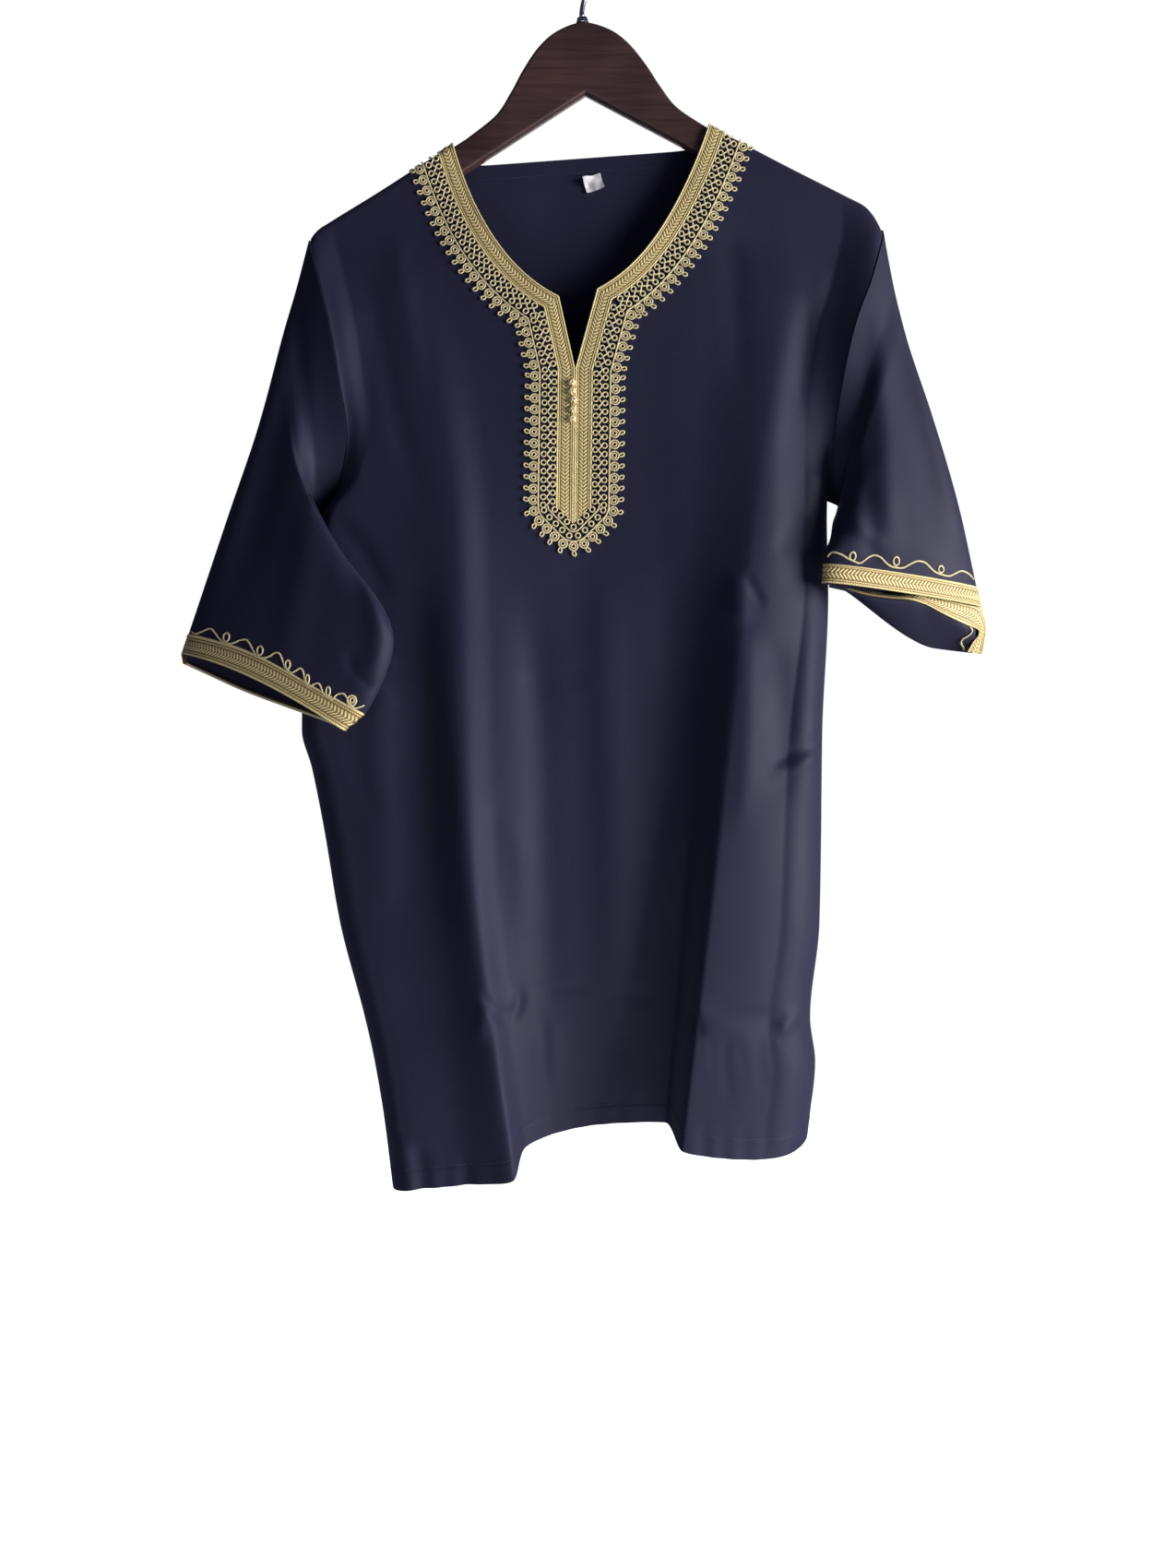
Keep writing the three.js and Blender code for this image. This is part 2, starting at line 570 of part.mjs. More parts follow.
// Sleeves: each starts from the panels' own armhole edges and flattens towards the cuff
function sleeveRule(sleeve) {
  const stops = sleeve.rings.map((ring) => ring.along);
  const trace = (key, axis) => curveThrough(stops, sleeve.rings.map((ring) => ring[key][axis]));
  const outer = [0, 1, 2].map((axis) => trace('outer', axis));
  const inner = [0, 1, 2].map((axis) => trace('inner', axis));
  const frontDepth = curveThrough(stops, sleeve.rings.map((ring) => ring.front));
  const backDepth = curveThrough(stops, sleeve.rings.map((ring) => ring.back));
  return (share, angle) => {
    const outerPoint = new THREE.Vector3(...outer.map((curve) => curve(share)));
    const innerPoint = new THREE.Vector3(...inner.map((curve) => curve(share)));
    const chord = innerPoint.clone().sub(outerPoint);
    const place = outerPoint.clone().addScaledVector(chord, (1 - Math.cos(angle)) / 2);
    const toFront = new THREE.Vector3(0, -1, 0);
    toFront.addScaledVector(chord, -toFront.dot(chord) / chord.lengthSq()).normalize();
    const swell = Math.abs(Math.sin(angle)) ** SLEEVE_SWELL;
    const isFront = Math.sin(angle) > 0;
    const depth = isFront ? frontDepth(share) : -backDepth(share) * lerp(0.2, 1, (1 + Math.cos(angle)) / 2);
    place.addScaledVector(toFront, depth * swell);
    // The back layer hangs lower than the front one towards the cuff
    const hang = isFront
      ? Math.exp(-((angle / FRONT_DROOP_ANGLE) ** 2))
      : 1 - smoothstep(Math.PI * 2 - angle, ...BACK_DROOP_ANGLES);
    place.z -= sleeve.backDroop * hang * smoothstep(share, DROOP_FROM, 1);
    return place;
  };
}

function sleeveGrids(sleeve) {
  const rule = sleeveRule(sleeve);
  const count = ARMHOLE_ROWS.length - 1;
  const column = sleeve.side < 0 ? 0 : front.outer[0].length - 1;
  const backColumn = sleeve.side < 0 ? 0 : back.outer[0].length - 1;
  const step = new THREE.Vector3(sleeve.side * SLEEVE_GAP, 0, 0);
  const ringFrom = (frontRows, backRows) => {
    const ring = [];
    for (let k = 0; k < 2 * count; k += 1) {
      const row = k <= count ? k : 2 * count - k;
      const frontPoint = frontRows[row][column];
      const backPoint = backRows[row][backColumn];
      const isEnd = row === 0 || row === count;
      const base = isEnd ? frontPoint.clone().lerp(backPoint, 0.5) : (k < count ? frontPoint : backPoint).clone();
      ring.push(base.add(step));
    }
    return ring;
  };
  const startOuter = ringFrom(front.outer, back.outer);
  const startInner = ringFrom(front.inner, back.inner);
  // At the shoulder tip and the underarm the sleeve's wall stands above and below its own edge
  startInner[0].copy(startOuter[0]).setZ(startOuter[0].z - CLOTH);
  startInner[count].copy(startOuter[count]).setZ(startOuter[count].z + CLOTH);
  const angles = startOuter.map((_, k) => {
    const row = k <= count ? k : 2 * count - k;
    const angle = Math.acos(1 - 2 * ARMHOLE_ROWS[row]);
    return k <= count ? angle : 2 * Math.PI - angle;
  });
  const outer = SLEEVE_ROWS.map((share) => angles.map((angle, k) => {
    const settle = Math.max(0, 1 - share / SETTLE) ** 2;
    const gap = startOuter[k].clone().sub(rule(0, angle));
    return rule(share, angle).addScaledVector(gap, settle);
  }));
  const normals = gridNormals(outer, -sleeve.side, true);
  const inner = moveGrid(outer, normals, -CLOTH);
  inner[0] = startInner;
  return { outer, inner, normals };
}

for (const [name, sleeve] of Object.entries(SLEEVES)) {
  const grids = sleeveGrids(sleeve);
  addPiece(`sleeve_${name}`, bodyBetween(grids.outer, grids.inner, true), NAVY);
  const lift = (distance) => moveGrid(grids.outer.slice(CUFF_ROW), grids.normals.slice(CUFF_ROW), distance);
  addPiece(`cuff_braid_${name}`, bodyBetween(lift(TRIM_GAP + TRIM_THICKNESS), lift(TRIM_GAP), true), GOLD);
}

// Knotted buttons in a row down the closed placket, just proud of the braid
KNOT_PLACES.forEach(([x, z], i) => {
  const { point, normal } = onPanel(front, x, z);
  const knot = new THREE.SphereGeometry(KNOT_RADIUS, 10, 8);
  const lift = TRIM_GAP + TRIM_THICKNESS + SEAM_GAP + KNOT_RADIUS;
  const place = point.clone().addScaledVector(normal, lift);
  addPiece(`knot_${i + 1}`, knot.translate(place.x, place.y, place.z), GOLD);
});

// Blank label sewn inside the back neck, laid along the cloth's inner face
{
  const cells = [-0.5, 0, 0.5];
  const lift = (distance) => cells.map((down) => cells.map((acrossShare) => {
    const dx = acrossShare * LABEL.width;
    const dz = -down * LABEL.height;
    const x = LABEL.x + dx * Math.cos(LABEL.tilt) - dz * Math.sin(LABEL.tilt);
    const z = LABEL.z + dx * Math.sin(LABEL.tilt) + dz * Math.cos(LABEL.tilt);
    const { point, normal } = onPanel(back, x, z);
    return point.clone().addScaledVector(normal, -CLOTH - distance);
  }));
  addPiece('neck_label', bodyBetween(lift(TRIM_GAP + LABEL.thickness), lift(TRIM_GAP)), WHITE);
}

// Hanger: crown, two straight arms with round ends, and a gabled underside
const hanger = new THREE.Group();
hanger.rotation.y = -HANGER_ROLL;
jabador.add(hanger);

{
  const slope = Math.atan2(CROWN_FOOT.z - ARM_END.z, ARM_END.x - CROWN_FOOT.x);
  const crown = [[20.5, -6], [36, -18], [49.5, -36], [60.3, -54], [73.4, -72]];
  const half = [
    ...crown.map(([x, drop]) => flat([x, HANGER_TOP + drop])),
    flat([CROWN_FOOT.x, CROWN_FOOT.z]),
  ];
  const top = new THREE.SplineCurve([
    ...half.toReversed().map((point) => flat([-point.x, point.y])),
    flat([0, HANGER_TOP]),
    ...half,
  ]).getPoints(36);
  const endRound = (side) => Array.from({ length: 5 }, (_, i) => {
    const radius = ARM_DEPTH / 2;
    const centre = flat([ARM_END.x - radius * Math.sin(slope), ARM_END.z - radius * Math.cos(slope)]);
    const angle = Math.PI / 2 - slope - (i / 4) * Math.PI;
    return flat([side * (centre.x + radius * Math.cos(angle)), centre.y + radius * Math.sin(angle)]);
  });
  const outline = [
    ...top,
    ...endRound(1),
    flat([0, ARCH_APEX]),
    ...endRound(-1).toReversed(),
  ];
  const solidDepth = HANGER_THICKNESS - 2 * HANGER_EDGE;
  const wood = new THREE.ExtrudeGeometry(new THREE.Shape(outline), {
    depth: solidDepth,
    bevelThickness: HANGER_EDGE,
    bevelSize: HANGER_EDGE,
    bevelOffset: -HANGER_EDGE,
    bevelSegments: 2,
  });
  wood.rotateX(Math.PI / 2).translate(0, solidDepth / 2, 0);
  addPiece('hanger_wood', wood, WOOD, hanger);

  const collarTop = HANGER_TOP + SEAM_GAP + COLLAR_HEIGHT;
  const collar = new THREE.CylinderGeometry(COLLAR_RADIUS * 0.8, COLLAR_RADIUS, COLLAR_HEIGHT, 16);
  collar.rotateX(Math.PI / 2).translate(0, 0, collarTop - COLLAR_HEIGHT / 2);
  addPiece('hanger_collar', collar, STEEL, hanger);

  const wireRadius = HOOK_RADIUS + HOOK_WIRE / 2;
  const centre = -HOOK_RADIUS;
  const stemFoot = collarTop + SEAM_GAP;
  const bow = Array.from({ length: 19 }, (_, i) => {
    const angle = THREE.MathUtils.degToRad(lerp(-62, 190, i / 18));
    return new THREE.Vector3(wireRadius * Math.cos(angle), 0, centre + wireRadius * Math.sin(angle));
  });
  const path = new THREE.CatmullRomCurve3([
    new THREE.Vector3(0, 0, stemFoot),
    new THREE.Vector3(0, 0, stemFoot + 5),
    new THREE.Vector3(3, 0, centre - wireRadius - 5),
    ...bow,
  ], false, 'centripetal');
  const ring = new THREE.Shape().absarc(0, 0, HOOK_WIRE / 2, 0, Math.PI * 2);
  const wire = new THREE.ExtrudeGeometry(ring, {
    steps: 32,
    curveSegments: 4,
    bevelEnabled: false,
    extrudePath: path,
  });
  addPiece('hanger_hook', wire, STEEL, hanger);
}

export default jabador;
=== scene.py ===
# A jabador as it hangs: a navy short-sleeved tunic with gold braid and corded lace, on a wooden hanger.
# Lengths are millimetres until a mesh is made; depth is measured from the plane of the hanger.
import math

import bmesh
import bpy
import numpy as np
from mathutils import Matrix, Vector


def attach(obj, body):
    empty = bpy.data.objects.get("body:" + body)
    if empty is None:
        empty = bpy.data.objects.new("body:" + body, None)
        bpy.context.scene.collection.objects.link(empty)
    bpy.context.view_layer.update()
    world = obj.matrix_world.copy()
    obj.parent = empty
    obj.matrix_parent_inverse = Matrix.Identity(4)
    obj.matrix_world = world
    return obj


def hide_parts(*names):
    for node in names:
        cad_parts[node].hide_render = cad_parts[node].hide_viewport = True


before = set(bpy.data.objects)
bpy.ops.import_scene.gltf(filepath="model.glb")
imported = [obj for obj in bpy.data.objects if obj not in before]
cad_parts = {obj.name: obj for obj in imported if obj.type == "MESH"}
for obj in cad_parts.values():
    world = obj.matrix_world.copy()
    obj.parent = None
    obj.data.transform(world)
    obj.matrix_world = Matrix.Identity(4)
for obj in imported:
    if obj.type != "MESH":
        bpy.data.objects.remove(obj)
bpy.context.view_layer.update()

MM = 0.001
scene = bpy.context.scene


# Camera: it stands level, a little over a metre in front of the hanger, at the height of the cuffs.
# The picture is 1275 by 1700 pixels; the long lens figure is pixels across a metre seen from a metre away.
PICTURE = (1275, 1700)
CAMERA_PLACE = (7.5, -1190, -683.3)
PIXELS_AT_A_METRE = 1597.2
SENSOR = 36

camera_data = bpy.data.cameras.new("camera")
camera_data.sensor_width = SENSOR
camera_data.lens = SENSOR * PIXELS_AT_A_METRE / PICTURE[1]
camera = bpy.data.objects.new("camera", camera_data)
camera.location = Vector(CAMERA_PLACE) * MM
camera.rotation_euler = (math.radians(90), 0, 0)
scene.collection.objects.link(camera)
scene.camera = camera


# Room: a pale floor well below the hem and one window-like softbox to the right of the camera.
# Weak fills from below and from the left keep the shaded cloth readable, and a wide one lights the back.
# The surroundings are plain white.
FLOOR_HEIGHT = -1900
FLOOR_SIZE = 9000
SOFTBOXES = [
    {"name": "window", "place": (2500, -1150, -470), "aim": (0, 0, -640),
     "size": (1500, 1700), "watts": 114},
    {"name": "low fill", "place": (260, -700, -1560), "aim": (110, 0, -1050),
     "size": (1000, 400), "watts": 5.6},
    {"name": "left fill", "place": (-900, -900, -950), "aim": (-250, 0, -600),
     "size": (500, 500), "watts": 0.9},
    {"name": "back light", "place": (300, 2400, 300), "aim": (0, 0, -600),
     "size": (2200, 1800), "watts": 18},
]
AMBIENT = (0.036, 0.042, 0.078, 1)


def add_node(tree, kind, inputs=None, **settings):
    """A shader node; an input is a value, or the output socket that feeds it."""
    made = tree.nodes.new("ShaderNode" + kind)
    for setting, value in settings.items():
        setattr(made, setting, value)
    for socket, value in (inputs or {}).items():
        if isinstance(value, bpy.types.NodeSocket):
            tree.links.new(value, made.inputs[socket])
        else:
            made.inputs[socket].default_value = value
    return made


def light_room():
    world = bpy.data.worlds.new("room")
    world.use_nodes = True
    tree = world.node_tree
    tree.nodes.clear()
    dim = add_node(tree, "Background", {"Color": AMBIENT, "Strength": 1.0})
    white = add_node(tree, "Background", {"Color": (1, 1, 1, 1), "Strength": 1.0})
    seen = add_node(tree, "LightPath").outputs["Is Camera Ray"]
    mixed = add_node(tree, "MixShader", {0: seen, 1: dim.outputs[0], 2: white.outputs[0]})
    add_node(tree, "OutputWorld", {"Surface": mixed.outputs[0]})
    scene.world = world
    for box in SOFTBOXES:
        data = bpy.data.lights.new(box["name"], "AREA")
        data.shape = "RECTANGLE"
        data.size, data.size_y = box["size"][0] * MM, box["size"][1] * MM
        data.energy = box["watts"]
        light = bpy.data.objects.new(box["name"], data)
        light.location = Vector(box["place"]) * MM
        way = Vector(box["aim"]) - Vector(box["place"])
        light.rotation_euler = way.to_track_quat("-Z", "Y").to_euler()
        scene.collection.objects.link(light)


def lay_floor():
    half = FLOOR_SIZE / 2 * MM
    mesh = bpy.data.meshes.new("floor")
    corners = [(x, y, FLOOR_HEIGHT * MM)
               for x, y in ((-half, -half), (half, -half), (half, half), (-half, half))]
    mesh.from_pydata(corners, [], [(0, 1, 2, 3)])
    paint = bpy.data.materials.new("pale floor")
    paint.use_nodes = True
    surface = paint.node_tree.nodes["Principled BSDF"]
    surface.inputs["Base Color"].default_value = (0.9, 0.9, 0.9, 1)
    surface.inputs["Roughness"].default_value = 0.9
    surface.inputs["Emission Color"].default_value = (1, 1, 1, 1)
    surface.inputs["Emission Strength"].default_value = 1.3
    mesh.materials.append(paint)
    floor = bpy.data.objects.new("floor", mesh)
    floor.visible_diffuse = False
    floor.visible_glossy = False
    scene.collection.objects.link(floor)


light_room()
lay_floor()


# Hanger: a flat beech blank sawn to a crown and two straight arms, its edges rounded over.
# It is stained dark mahogany and sprayed with satin lacquer, and hangs rolled a little on its hook.
ROLL = math.radians(2.5)
HANGER_TOP = -70
HANGER_THICKNESS = 12
HANGER_EDGE = 3
CROWN = [(20.5, -76), (36, -88), (49.5, -106), (60.3, -124), (73.4, -142), (98, -160)]
ARM_END = (214, -227.5)
ARM_DEPTH = 22
ARCH_APEX = -127
MAHOGANY = {"dark": (0.036, 0.016, 0.015, 1), "light": (0.092, 0.044, 0.040, 1)}


def between(a, b, share):
    return a + (b - a) * share


def eased(at, low, high):
    t = np.clip((np.asarray(at, float) - low) / (high - low), 0, 1)
    return t * t * (3 - 2 * t)


def unit(vectors):
    return vectors / np.maximum(np.linalg.norm(vectors, axis=-1, keepdims=True), 1e-12)


def rolled(points):
    """Points of the upright hanger where they lie once it is rolled on its hook."""
    points = np.asarray(points, float)
    x, z = points[..., 0].copy(), points[..., -1].copy()
    turned = points.copy()
    turned[..., 0] = x * math.cos(ROLL) - z * math.sin(ROLL)
    turned[..., -1] = x * math.sin(ROLL) + z * math.cos(ROLL)
    return turned


def spline_through(points, count):
    """Even steps of a smooth curve through given points."""
    points = np.asarray(points, float)
    at = np.linspace(0, len(points) - 1, count + 1)
    i = np.minimum(at.astype(int), len(points) - 2)
    t = (at - i)[:, None]
    before, start = points[np.maximum(i - 1, 0)], points[i]
    end, after = points[i + 1], points[np.minimum(i + 2, len(points) - 1)]
    bend_in, bend_out = (end - before) / 2, (after - start) / 2
    return ((2 * t**3 - 3 * t**2 + 1) * start + (t**3 - 2 * t**2 + t) * bend_in
            + (3 * t**2 - 2 * t**3) * end + (t**3 - t**2) * bend_out)


def grid_faces(rows, columns, closed=False, first=0):
    """Quads of a grid of points; a closed grid's last column joins its first."""
    r, c = np.meshgrid(np.arange(rows - 1), np.arange(columns if closed else columns - 1), indexing="ij")
    here, beside = r * columns + c, r * columns + (c + 1) % columns
    return np.stack([here, here + columns, beside + columns, beside], -1).reshape(-1, 4) + first


def tube_faces(rows, columns, first=0):
    """Faces of a tube of points, ring by ring, with both of its ends capped."""
    walls = grid_faces(rows, columns, closed=True, first=first).tolist()
    last = first + (rows - 1) * columns
    return walls + [list(range(first, first + columns)), list(range(last + columns - 1, last - 1, -1))]


def outward_faces(points, faces):
    """The same faces, turned if need be so that they face out of the closed piece."""
    fans = np.array([[face[0], face[i], face[i + 1]] for face in faces for i in range(1, len(face) - 1)])
    a, b, c = (points[fans[:, i]] for i in range(3))
    volume = np.sum(np.einsum("ij,ij->i", a, np.cross(b, c)))
    return faces if volume > 0 else [face[::-1] for face in faces]


def new_piece(name, points, faces, paint, sharp=50, coords=None, relief=None):
    """A named piece that rides with the object: coords place it on the cloth, relief says what stands out,
    and the gold finishes paint shade into the colour from it.
    """
    mesh = bpy.data.meshes.new(name)
    spots = (np.asarray(points).reshape(-1, 3) * MM).tolist()
    mesh.from_pydata(spots, [], [list(map(int, face)) for face in faces])
    mesh.shade_smooth()
    mesh.set_sharp_from_angle(angle=math.radians(sharp))
    if coords is not None:
        corners = np.empty(len(mesh.loops), int)
        mesh.loops.foreach_get("vertex_index", corners)
        layer = mesh.uv_layers.new(name="cloth")
        layer.data.foreach_set("uv", np.asarray(coords, np.float32).reshape(-1, 2)[corners].ravel())
    if relief is not None:
        attribute = mesh.attributes.new("relief", "FLOAT", "POINT")
        attribute.data.foreach_set("value", np.asarray(relief, np.float32).ravel())
    mesh.materials.append(paint)
    piece = bpy.data.objects.new(name, mesh)
    scene.collection.objects.link(piece)
    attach(piece, "root")
    return piece


def new_paint(name, **sockets):
    paint = bpy.data.materials.new(name)
    paint.use_nodes = True
    surface = paint.node_tree.nodes["Principled BSDF"]
    for socket, value in sockets.items():
        surface.inputs[socket.replace("_", " ")].default_value = value
    return paint, paint.node_tree, surface


def blend_tones(tree, amount, tones, low=0.0, high=1.0):
    """A ramp from a finish's dark tone to its light one."""
    ramp = add_node(tree, "ValToRGB", {"Fac": amount})
    dark, light = ramp.color_ramp.elements
    dark.position, dark.color = low, tones["dark"]
    light.position, light.color = high, tones["light"]
    return ramp


def lacquered_mahogany():
    paint, tree, surface = new_paint("lacquered mahogany", Roughness=0.42, Coat_Weight=0.5,
                                     Coat_Roughness=0.22)
    place = add_node(tree, "TexCoord").outputs["Object"]
    along_grain = add_node(tree, "Mapping", {"Vector": place, "Scale": (9, 60, 190)})
    grain = add_node(tree, "TexNoise", {"Vector": along_grain.outputs[0], "Scale": 1.6, "Detail": 6,
                                        "Distortion": 0.6})
    stain = add_node(tree, "TexNoise", {"Vector": place, "Scale": 14, "Detail": 2})
    both = add_node(tree, "Math", {0: grain.outputs["Fac"], 1: stain.outputs["Fac"]}, operation="MULTIPLY")
    tone = blend_tones(tree, both.outputs[0], MAHOGANY, 0.12, 0.42)
    pores = add_node(tree, "Bump", {"Height": grain.outputs["Fac"], "Strength": 0.12, "Distance": 0.0004})
    tree.links.new(tone.outputs[0], surface.inputs["Base Color"])
    tree.links.new(pores.outputs[0], surface.inputs["Normal"])
    return paint


def hanger_outline():
    half = np.array(CROWN, float)
    top = spline_through(np.vstack([half[::-1] * (-1, 1), [(0, HANGER_TOP)], half]), 150)
    slope = math.atan2(CROWN[-1][1] - ARM_END[1], ARM_END[0] - CROWN[-1][0])
    radius = ARM_DEPTH / 2
    centre = (ARM_END[0] - radius * math.sin(slope), ARM_END[1] - radius * math.cos(slope))
    angles = math.pi / 2 - slope - np.linspace(0, math.pi, 17)
    tip = np.stack([centre[0] + radius * np.cos(angles), centre[1] + radius * np.sin(angles)], -1)
    return np.vstack([top, tip, [(0, ARCH_APEX)], tip[::-1] * (-1, 1)])


def make_hanger():
    outline = hanger_outline()
    before, after = np.roll(outline, 1, 0), np.roll(outline, -1, 0)
    edge_in, edge_out = unit(outline - before), unit(after - outline)
    inward = unit(np.stack([edge_in[:, 1] + edge_out[:, 1], -edge_in[:, 0] - edge_out[:, 0]], -1))
    reach = 1 / np.maximum(np.abs(np.sum(inward * np.stack([edge_in[:, 1], -edge_in[:, 0]], -1), -1)), 0.5)
    rings = []
    for turn in np.linspace(-90, 90, 15):
        inset = HANGER_EDGE * (1 - math.cos(math.radians(turn)))
        depth = ((HANGER_THICKNESS / 2 - HANGER_EDGE) * np.sign(turn)
                 + HANGER_EDGE * math.sin(math.radians(turn)))
        flat = outline + inward * (inset * reach)[:, None]
        rings.append(np.stack([flat[:, 0], np.full(len(flat), depth), flat[:, 1]], -1))
    count = len(outline)
    points = rolled(np.concatenate(rings))
    faces = outward_faces(points, tube_faces(len(rings), count))
    return new_piece("hanger_beech", points, faces, lacquered_mahogany(), sharp=28)


hanger = make_hanger()
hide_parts("hanger_wood")


# Collar and hook: a small turned ferrule pressed into the crown, and a steel wire hook that swivels in it.
# The wire is bent to a full bow with rounded ends and plated, softly polished.
COLLAR = [(-69.7, 5.0), (-69.5, 5.2), (-68.6, 5.2), (-68.2, 4.8), (-66.2, 4.35), (-65.4, 4.3),
          (-64.9, 4.0), (-64.7, 3.5)]
COLLAR_SIDES = 32
WIRE = 4
HOOK_BOW = {"radius": 23, "centre": -21, "from": -62, "to": 190}
HOOK_STEM = [(0, -64.4), (0, -59.4), (3, -49)]
HOOK_END = 1.2
STEEL = {"dark": (0.46, 0.46, 0.48, 1), "light": (0.6, 0.6, 0.62, 1)}


def cord_mesh(paths, radius, sides=6, closed=False):
    """Round cords along paths of points and surface normals: their points, faces and coords."""
    points, faces, coords, first = [], [], [], 0
    around = np.arange(sides) / sides * 2 * math.pi
    for line, normals in paths:
        count = len(line)
        ahead, behind = np.roll(line, -1, 0), np.roll(line, 1, 0)
        if not closed:
            ahead[-1], behind[0] = line[-1], line[0]
        forward = unit(ahead - behind)
        beside = unit(np.cross(forward, normals))
        up = np.cross(beside, forward)
        thick = np.broadcast_to(np.asarray(radius, float), (count,))[:, None, None]
        ring = beside[:, None] * np.cos(around)[None, :, None] + up[:, None] * np.sin(around)[None, :, None]
        points.append((line[:, None] + ring * thick).reshape(-1, 3))
        steps = np.linalg.norm(np.diff(line, axis=0), axis=1)
        along = np.concatenate([[0], np.cumsum(steps)])
        places = np.broadcast_arrays(along[:, None], around[None, :] / (2 * math.pi))
        coords.append(np.stack(places, -1).reshape(-1, 2))
        if closed:
            faces += grid_faces(count, sides, closed=True, first=first).tolist()
            here = first + (count - 1) * sides + np.arange(sides)
            beyond = first + np.arange(sides)
            faces += np.stack([here, beyond, np.roll(beyond, -1), np.roll(here, -1)], -1).tolist()
        else:
            faces += tube_faces(count, sides, first)
        first += count * sides
    return np.concatenate(points), faces, np.concatenate(coords)


def plated_steel():
    paint, tree, surface = new_paint("plated steel", Metallic=1.0, Roughness=0.24)
    place = add_node(tree, "TexCoord").outputs["Object"]
    drawn = add_node(tree, "TexNoise", {"Vector": place, "Scale": 900, "Detail": 3})
    tone = blend_tones(tree, drawn.outputs["Fac"], STEEL)
    haze = add_node(tree, "MapRange", {"Value": drawn.outputs["Fac"], "To Min": 0.16, "To Max": 0.34})
    tree.links.new(tone.outputs[0], surface.inputs["Base Color"])
    tree.links.new(haze.outputs[0], surface.inputs["Roughness"])
    return paint


def make_collar(steel):
    turns = np.arange(COLLAR_SIDES) / COLLAR_SIDES * 2 * math.pi
    height, radius = np.array(COLLAR)[:, 0, None], np.array(COLLAR)[:, 1, None]
    rings = np.stack(np.broadcast_arrays(radius * np.cos(turns), radius * np.sin(turns), height), -1)
    points = rolled(rings.reshape(-1, 3))
    faces = outward_faces(points, tube_faces(len(COLLAR), COLLAR_SIDES))
    collar = new_piece("collar", points, faces, steel, sharp=30)
    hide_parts("hanger_collar")


def make_hook(steel):
    angles = np.radians(np.linspace(HOOK_BOW["from"], HOOK_BOW["to"], 19))
    reach = HOOK_BOW["radius"]
    bow = np.stack([reach * np.cos(angles), HOOK_BOW["centre"] + reach * np.sin(angles)], -1)
    flat = rolled(spline_through(np.vstack([HOOK_STEM, bow]), 150))
    line = np.stack([flat[:, 0], np.zeros(len(flat)), flat[:, 1]], -1)
    travelled = np.concatenate([[0], np.cumsum(np.linalg.norm(np.diff(line, axis=0), axis=1))])
    from_end = np.minimum(travelled, travelled[-1] - travelled)
    radius = WIRE / 2 * np.sqrt(np.clip(1 - (1 - np.minimum(from_end / HOOK_END, 1)) ** 2, 0.05, 1))
    points, faces, _ = cord_mesh([(line, np.tile((0.0, -1.0, 0.0), (len(line), 1)))], radius, sides=20)
    hook = new_piece("hook", points, faces, steel, sharp=60)
    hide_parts("hanger_hook")


steel = plated_steel()
make_collar(steel)
make_hook(steel)


# Body: a front and a back of light navy cloth, seamed at the shoulders and down the sides.
# It hangs from the hanger in deep soft pleats; the front is cut away round the neck and slit down the chest.
# The hem is open below, turned up once and stitched, so the cloth is a little thicker there.
CLOTH = 0.7
SEAM_GAP = 0.3
SHOULDER_RISE = 2.8
SHOULDER_DEPTH = 8.7
SHOULDER_ROUND = 9
SHOULDER_SQUARENESS = 2.6
TIP_DROOP = 0.04
DRAPE = (14, 95)
ARMHOLE_SHARE = 0.3
ARMHOLE_BULGE = {"front": 25, "back": 17.5}
ROUNDING_POWER = 14
SIDES = [
    (-245, -216, 243), (-285, -205, 231), (-320, -196, 218), (-366, -188, 208), (-405, -183, 203),
    (-440, -190, 201), (-470, -207, 200), (-530, -217, 201), (-640, -223, 196), (-670, -215, 195.5),
    (-720, -205, 195), (-795, -192, 193.5), (-870, -172, 186), (-905, -164, 190), (-945, -157, 186),
    (-1005, -149, 178),
]
FOLD_HEIGHTS = (-250, -470, -720, -1000)
FRONT_FOLDS = [
    {"share": 0.08, "inset": (20, 16, 24, 18), "depth": (13, 27, 30, 46), "hem": -999},
    {"share": 0.17, "x": (-163, -146, -120, -90), "depth": (12, 30, 35, 50), "hem": -994},
    {"share": 0.28, "x": (-133, -98, -86, -48), "depth": (12, 36, 54, 64), "hem": -987},
    {"share": 0.36, "x": (-101, -69, -63, -38), "depth": (13, 29, 42, 40), "hem": -967},
    {"share": 0.5, "x": (0, 10, 20, 16), "depth": (16, 26, 25, 12), "hem": -955},
    {"share": 0.62, "x": (104.5, 88, 84, 65), "depth": (13, 31, 28, 18), "hem": -952},
    {"share": 0.7, "x": (168, 139, 110, 75), "depth": (12, 44, 60, 72), "hem": -963},
    {"share": 0.86, "inset": (31, 22, 35, 42), "depth": (10, 28, 50, 62), "hem": -971},
]
BACK_FOLDS = [
    {"share": 0.1, "inset": (24, 18, 30, 22), "depth": (9, 18, 28, 44), "hem": -1000},
    {"share": 0.3, "x": (-101, -108, -96, -66), "depth": (11, 30, 46, 58), "hem": -994},
    {"share": 0.5, "x": (4, 8, 12, 10), "depth": (12, 20, 18, 14), "hem": -954},
    {"share": 0.7, "x": (104.5, 122, 112, 92), "depth": (11, 32, 50, 62), "hem": -972},
    {"share": 0.88, "inset": (34, 20, 28, 32), "depth": (9, 24, 42, 52), "hem": -970},
]
HEM_ENDS = (-1005, -961)
HEM_TURN = {"height": 14, "proud": 0.3, "pucker": 0.45}
NECK = {
    "left": {"side": -1, "shoulder": (-101, -168.2), "pull": (-73.8, -265.6), "corner": (-15.5, -295.3)},
    "right": {"side": 1, "shoulder": (104.5, -153.1), "pull": (68.4, -261.9), "corner": (14.5, -289)},
}
SLIT_FOOT = (-2.7, -353)
PLACKET_TIP = (-4.1, -477.9)
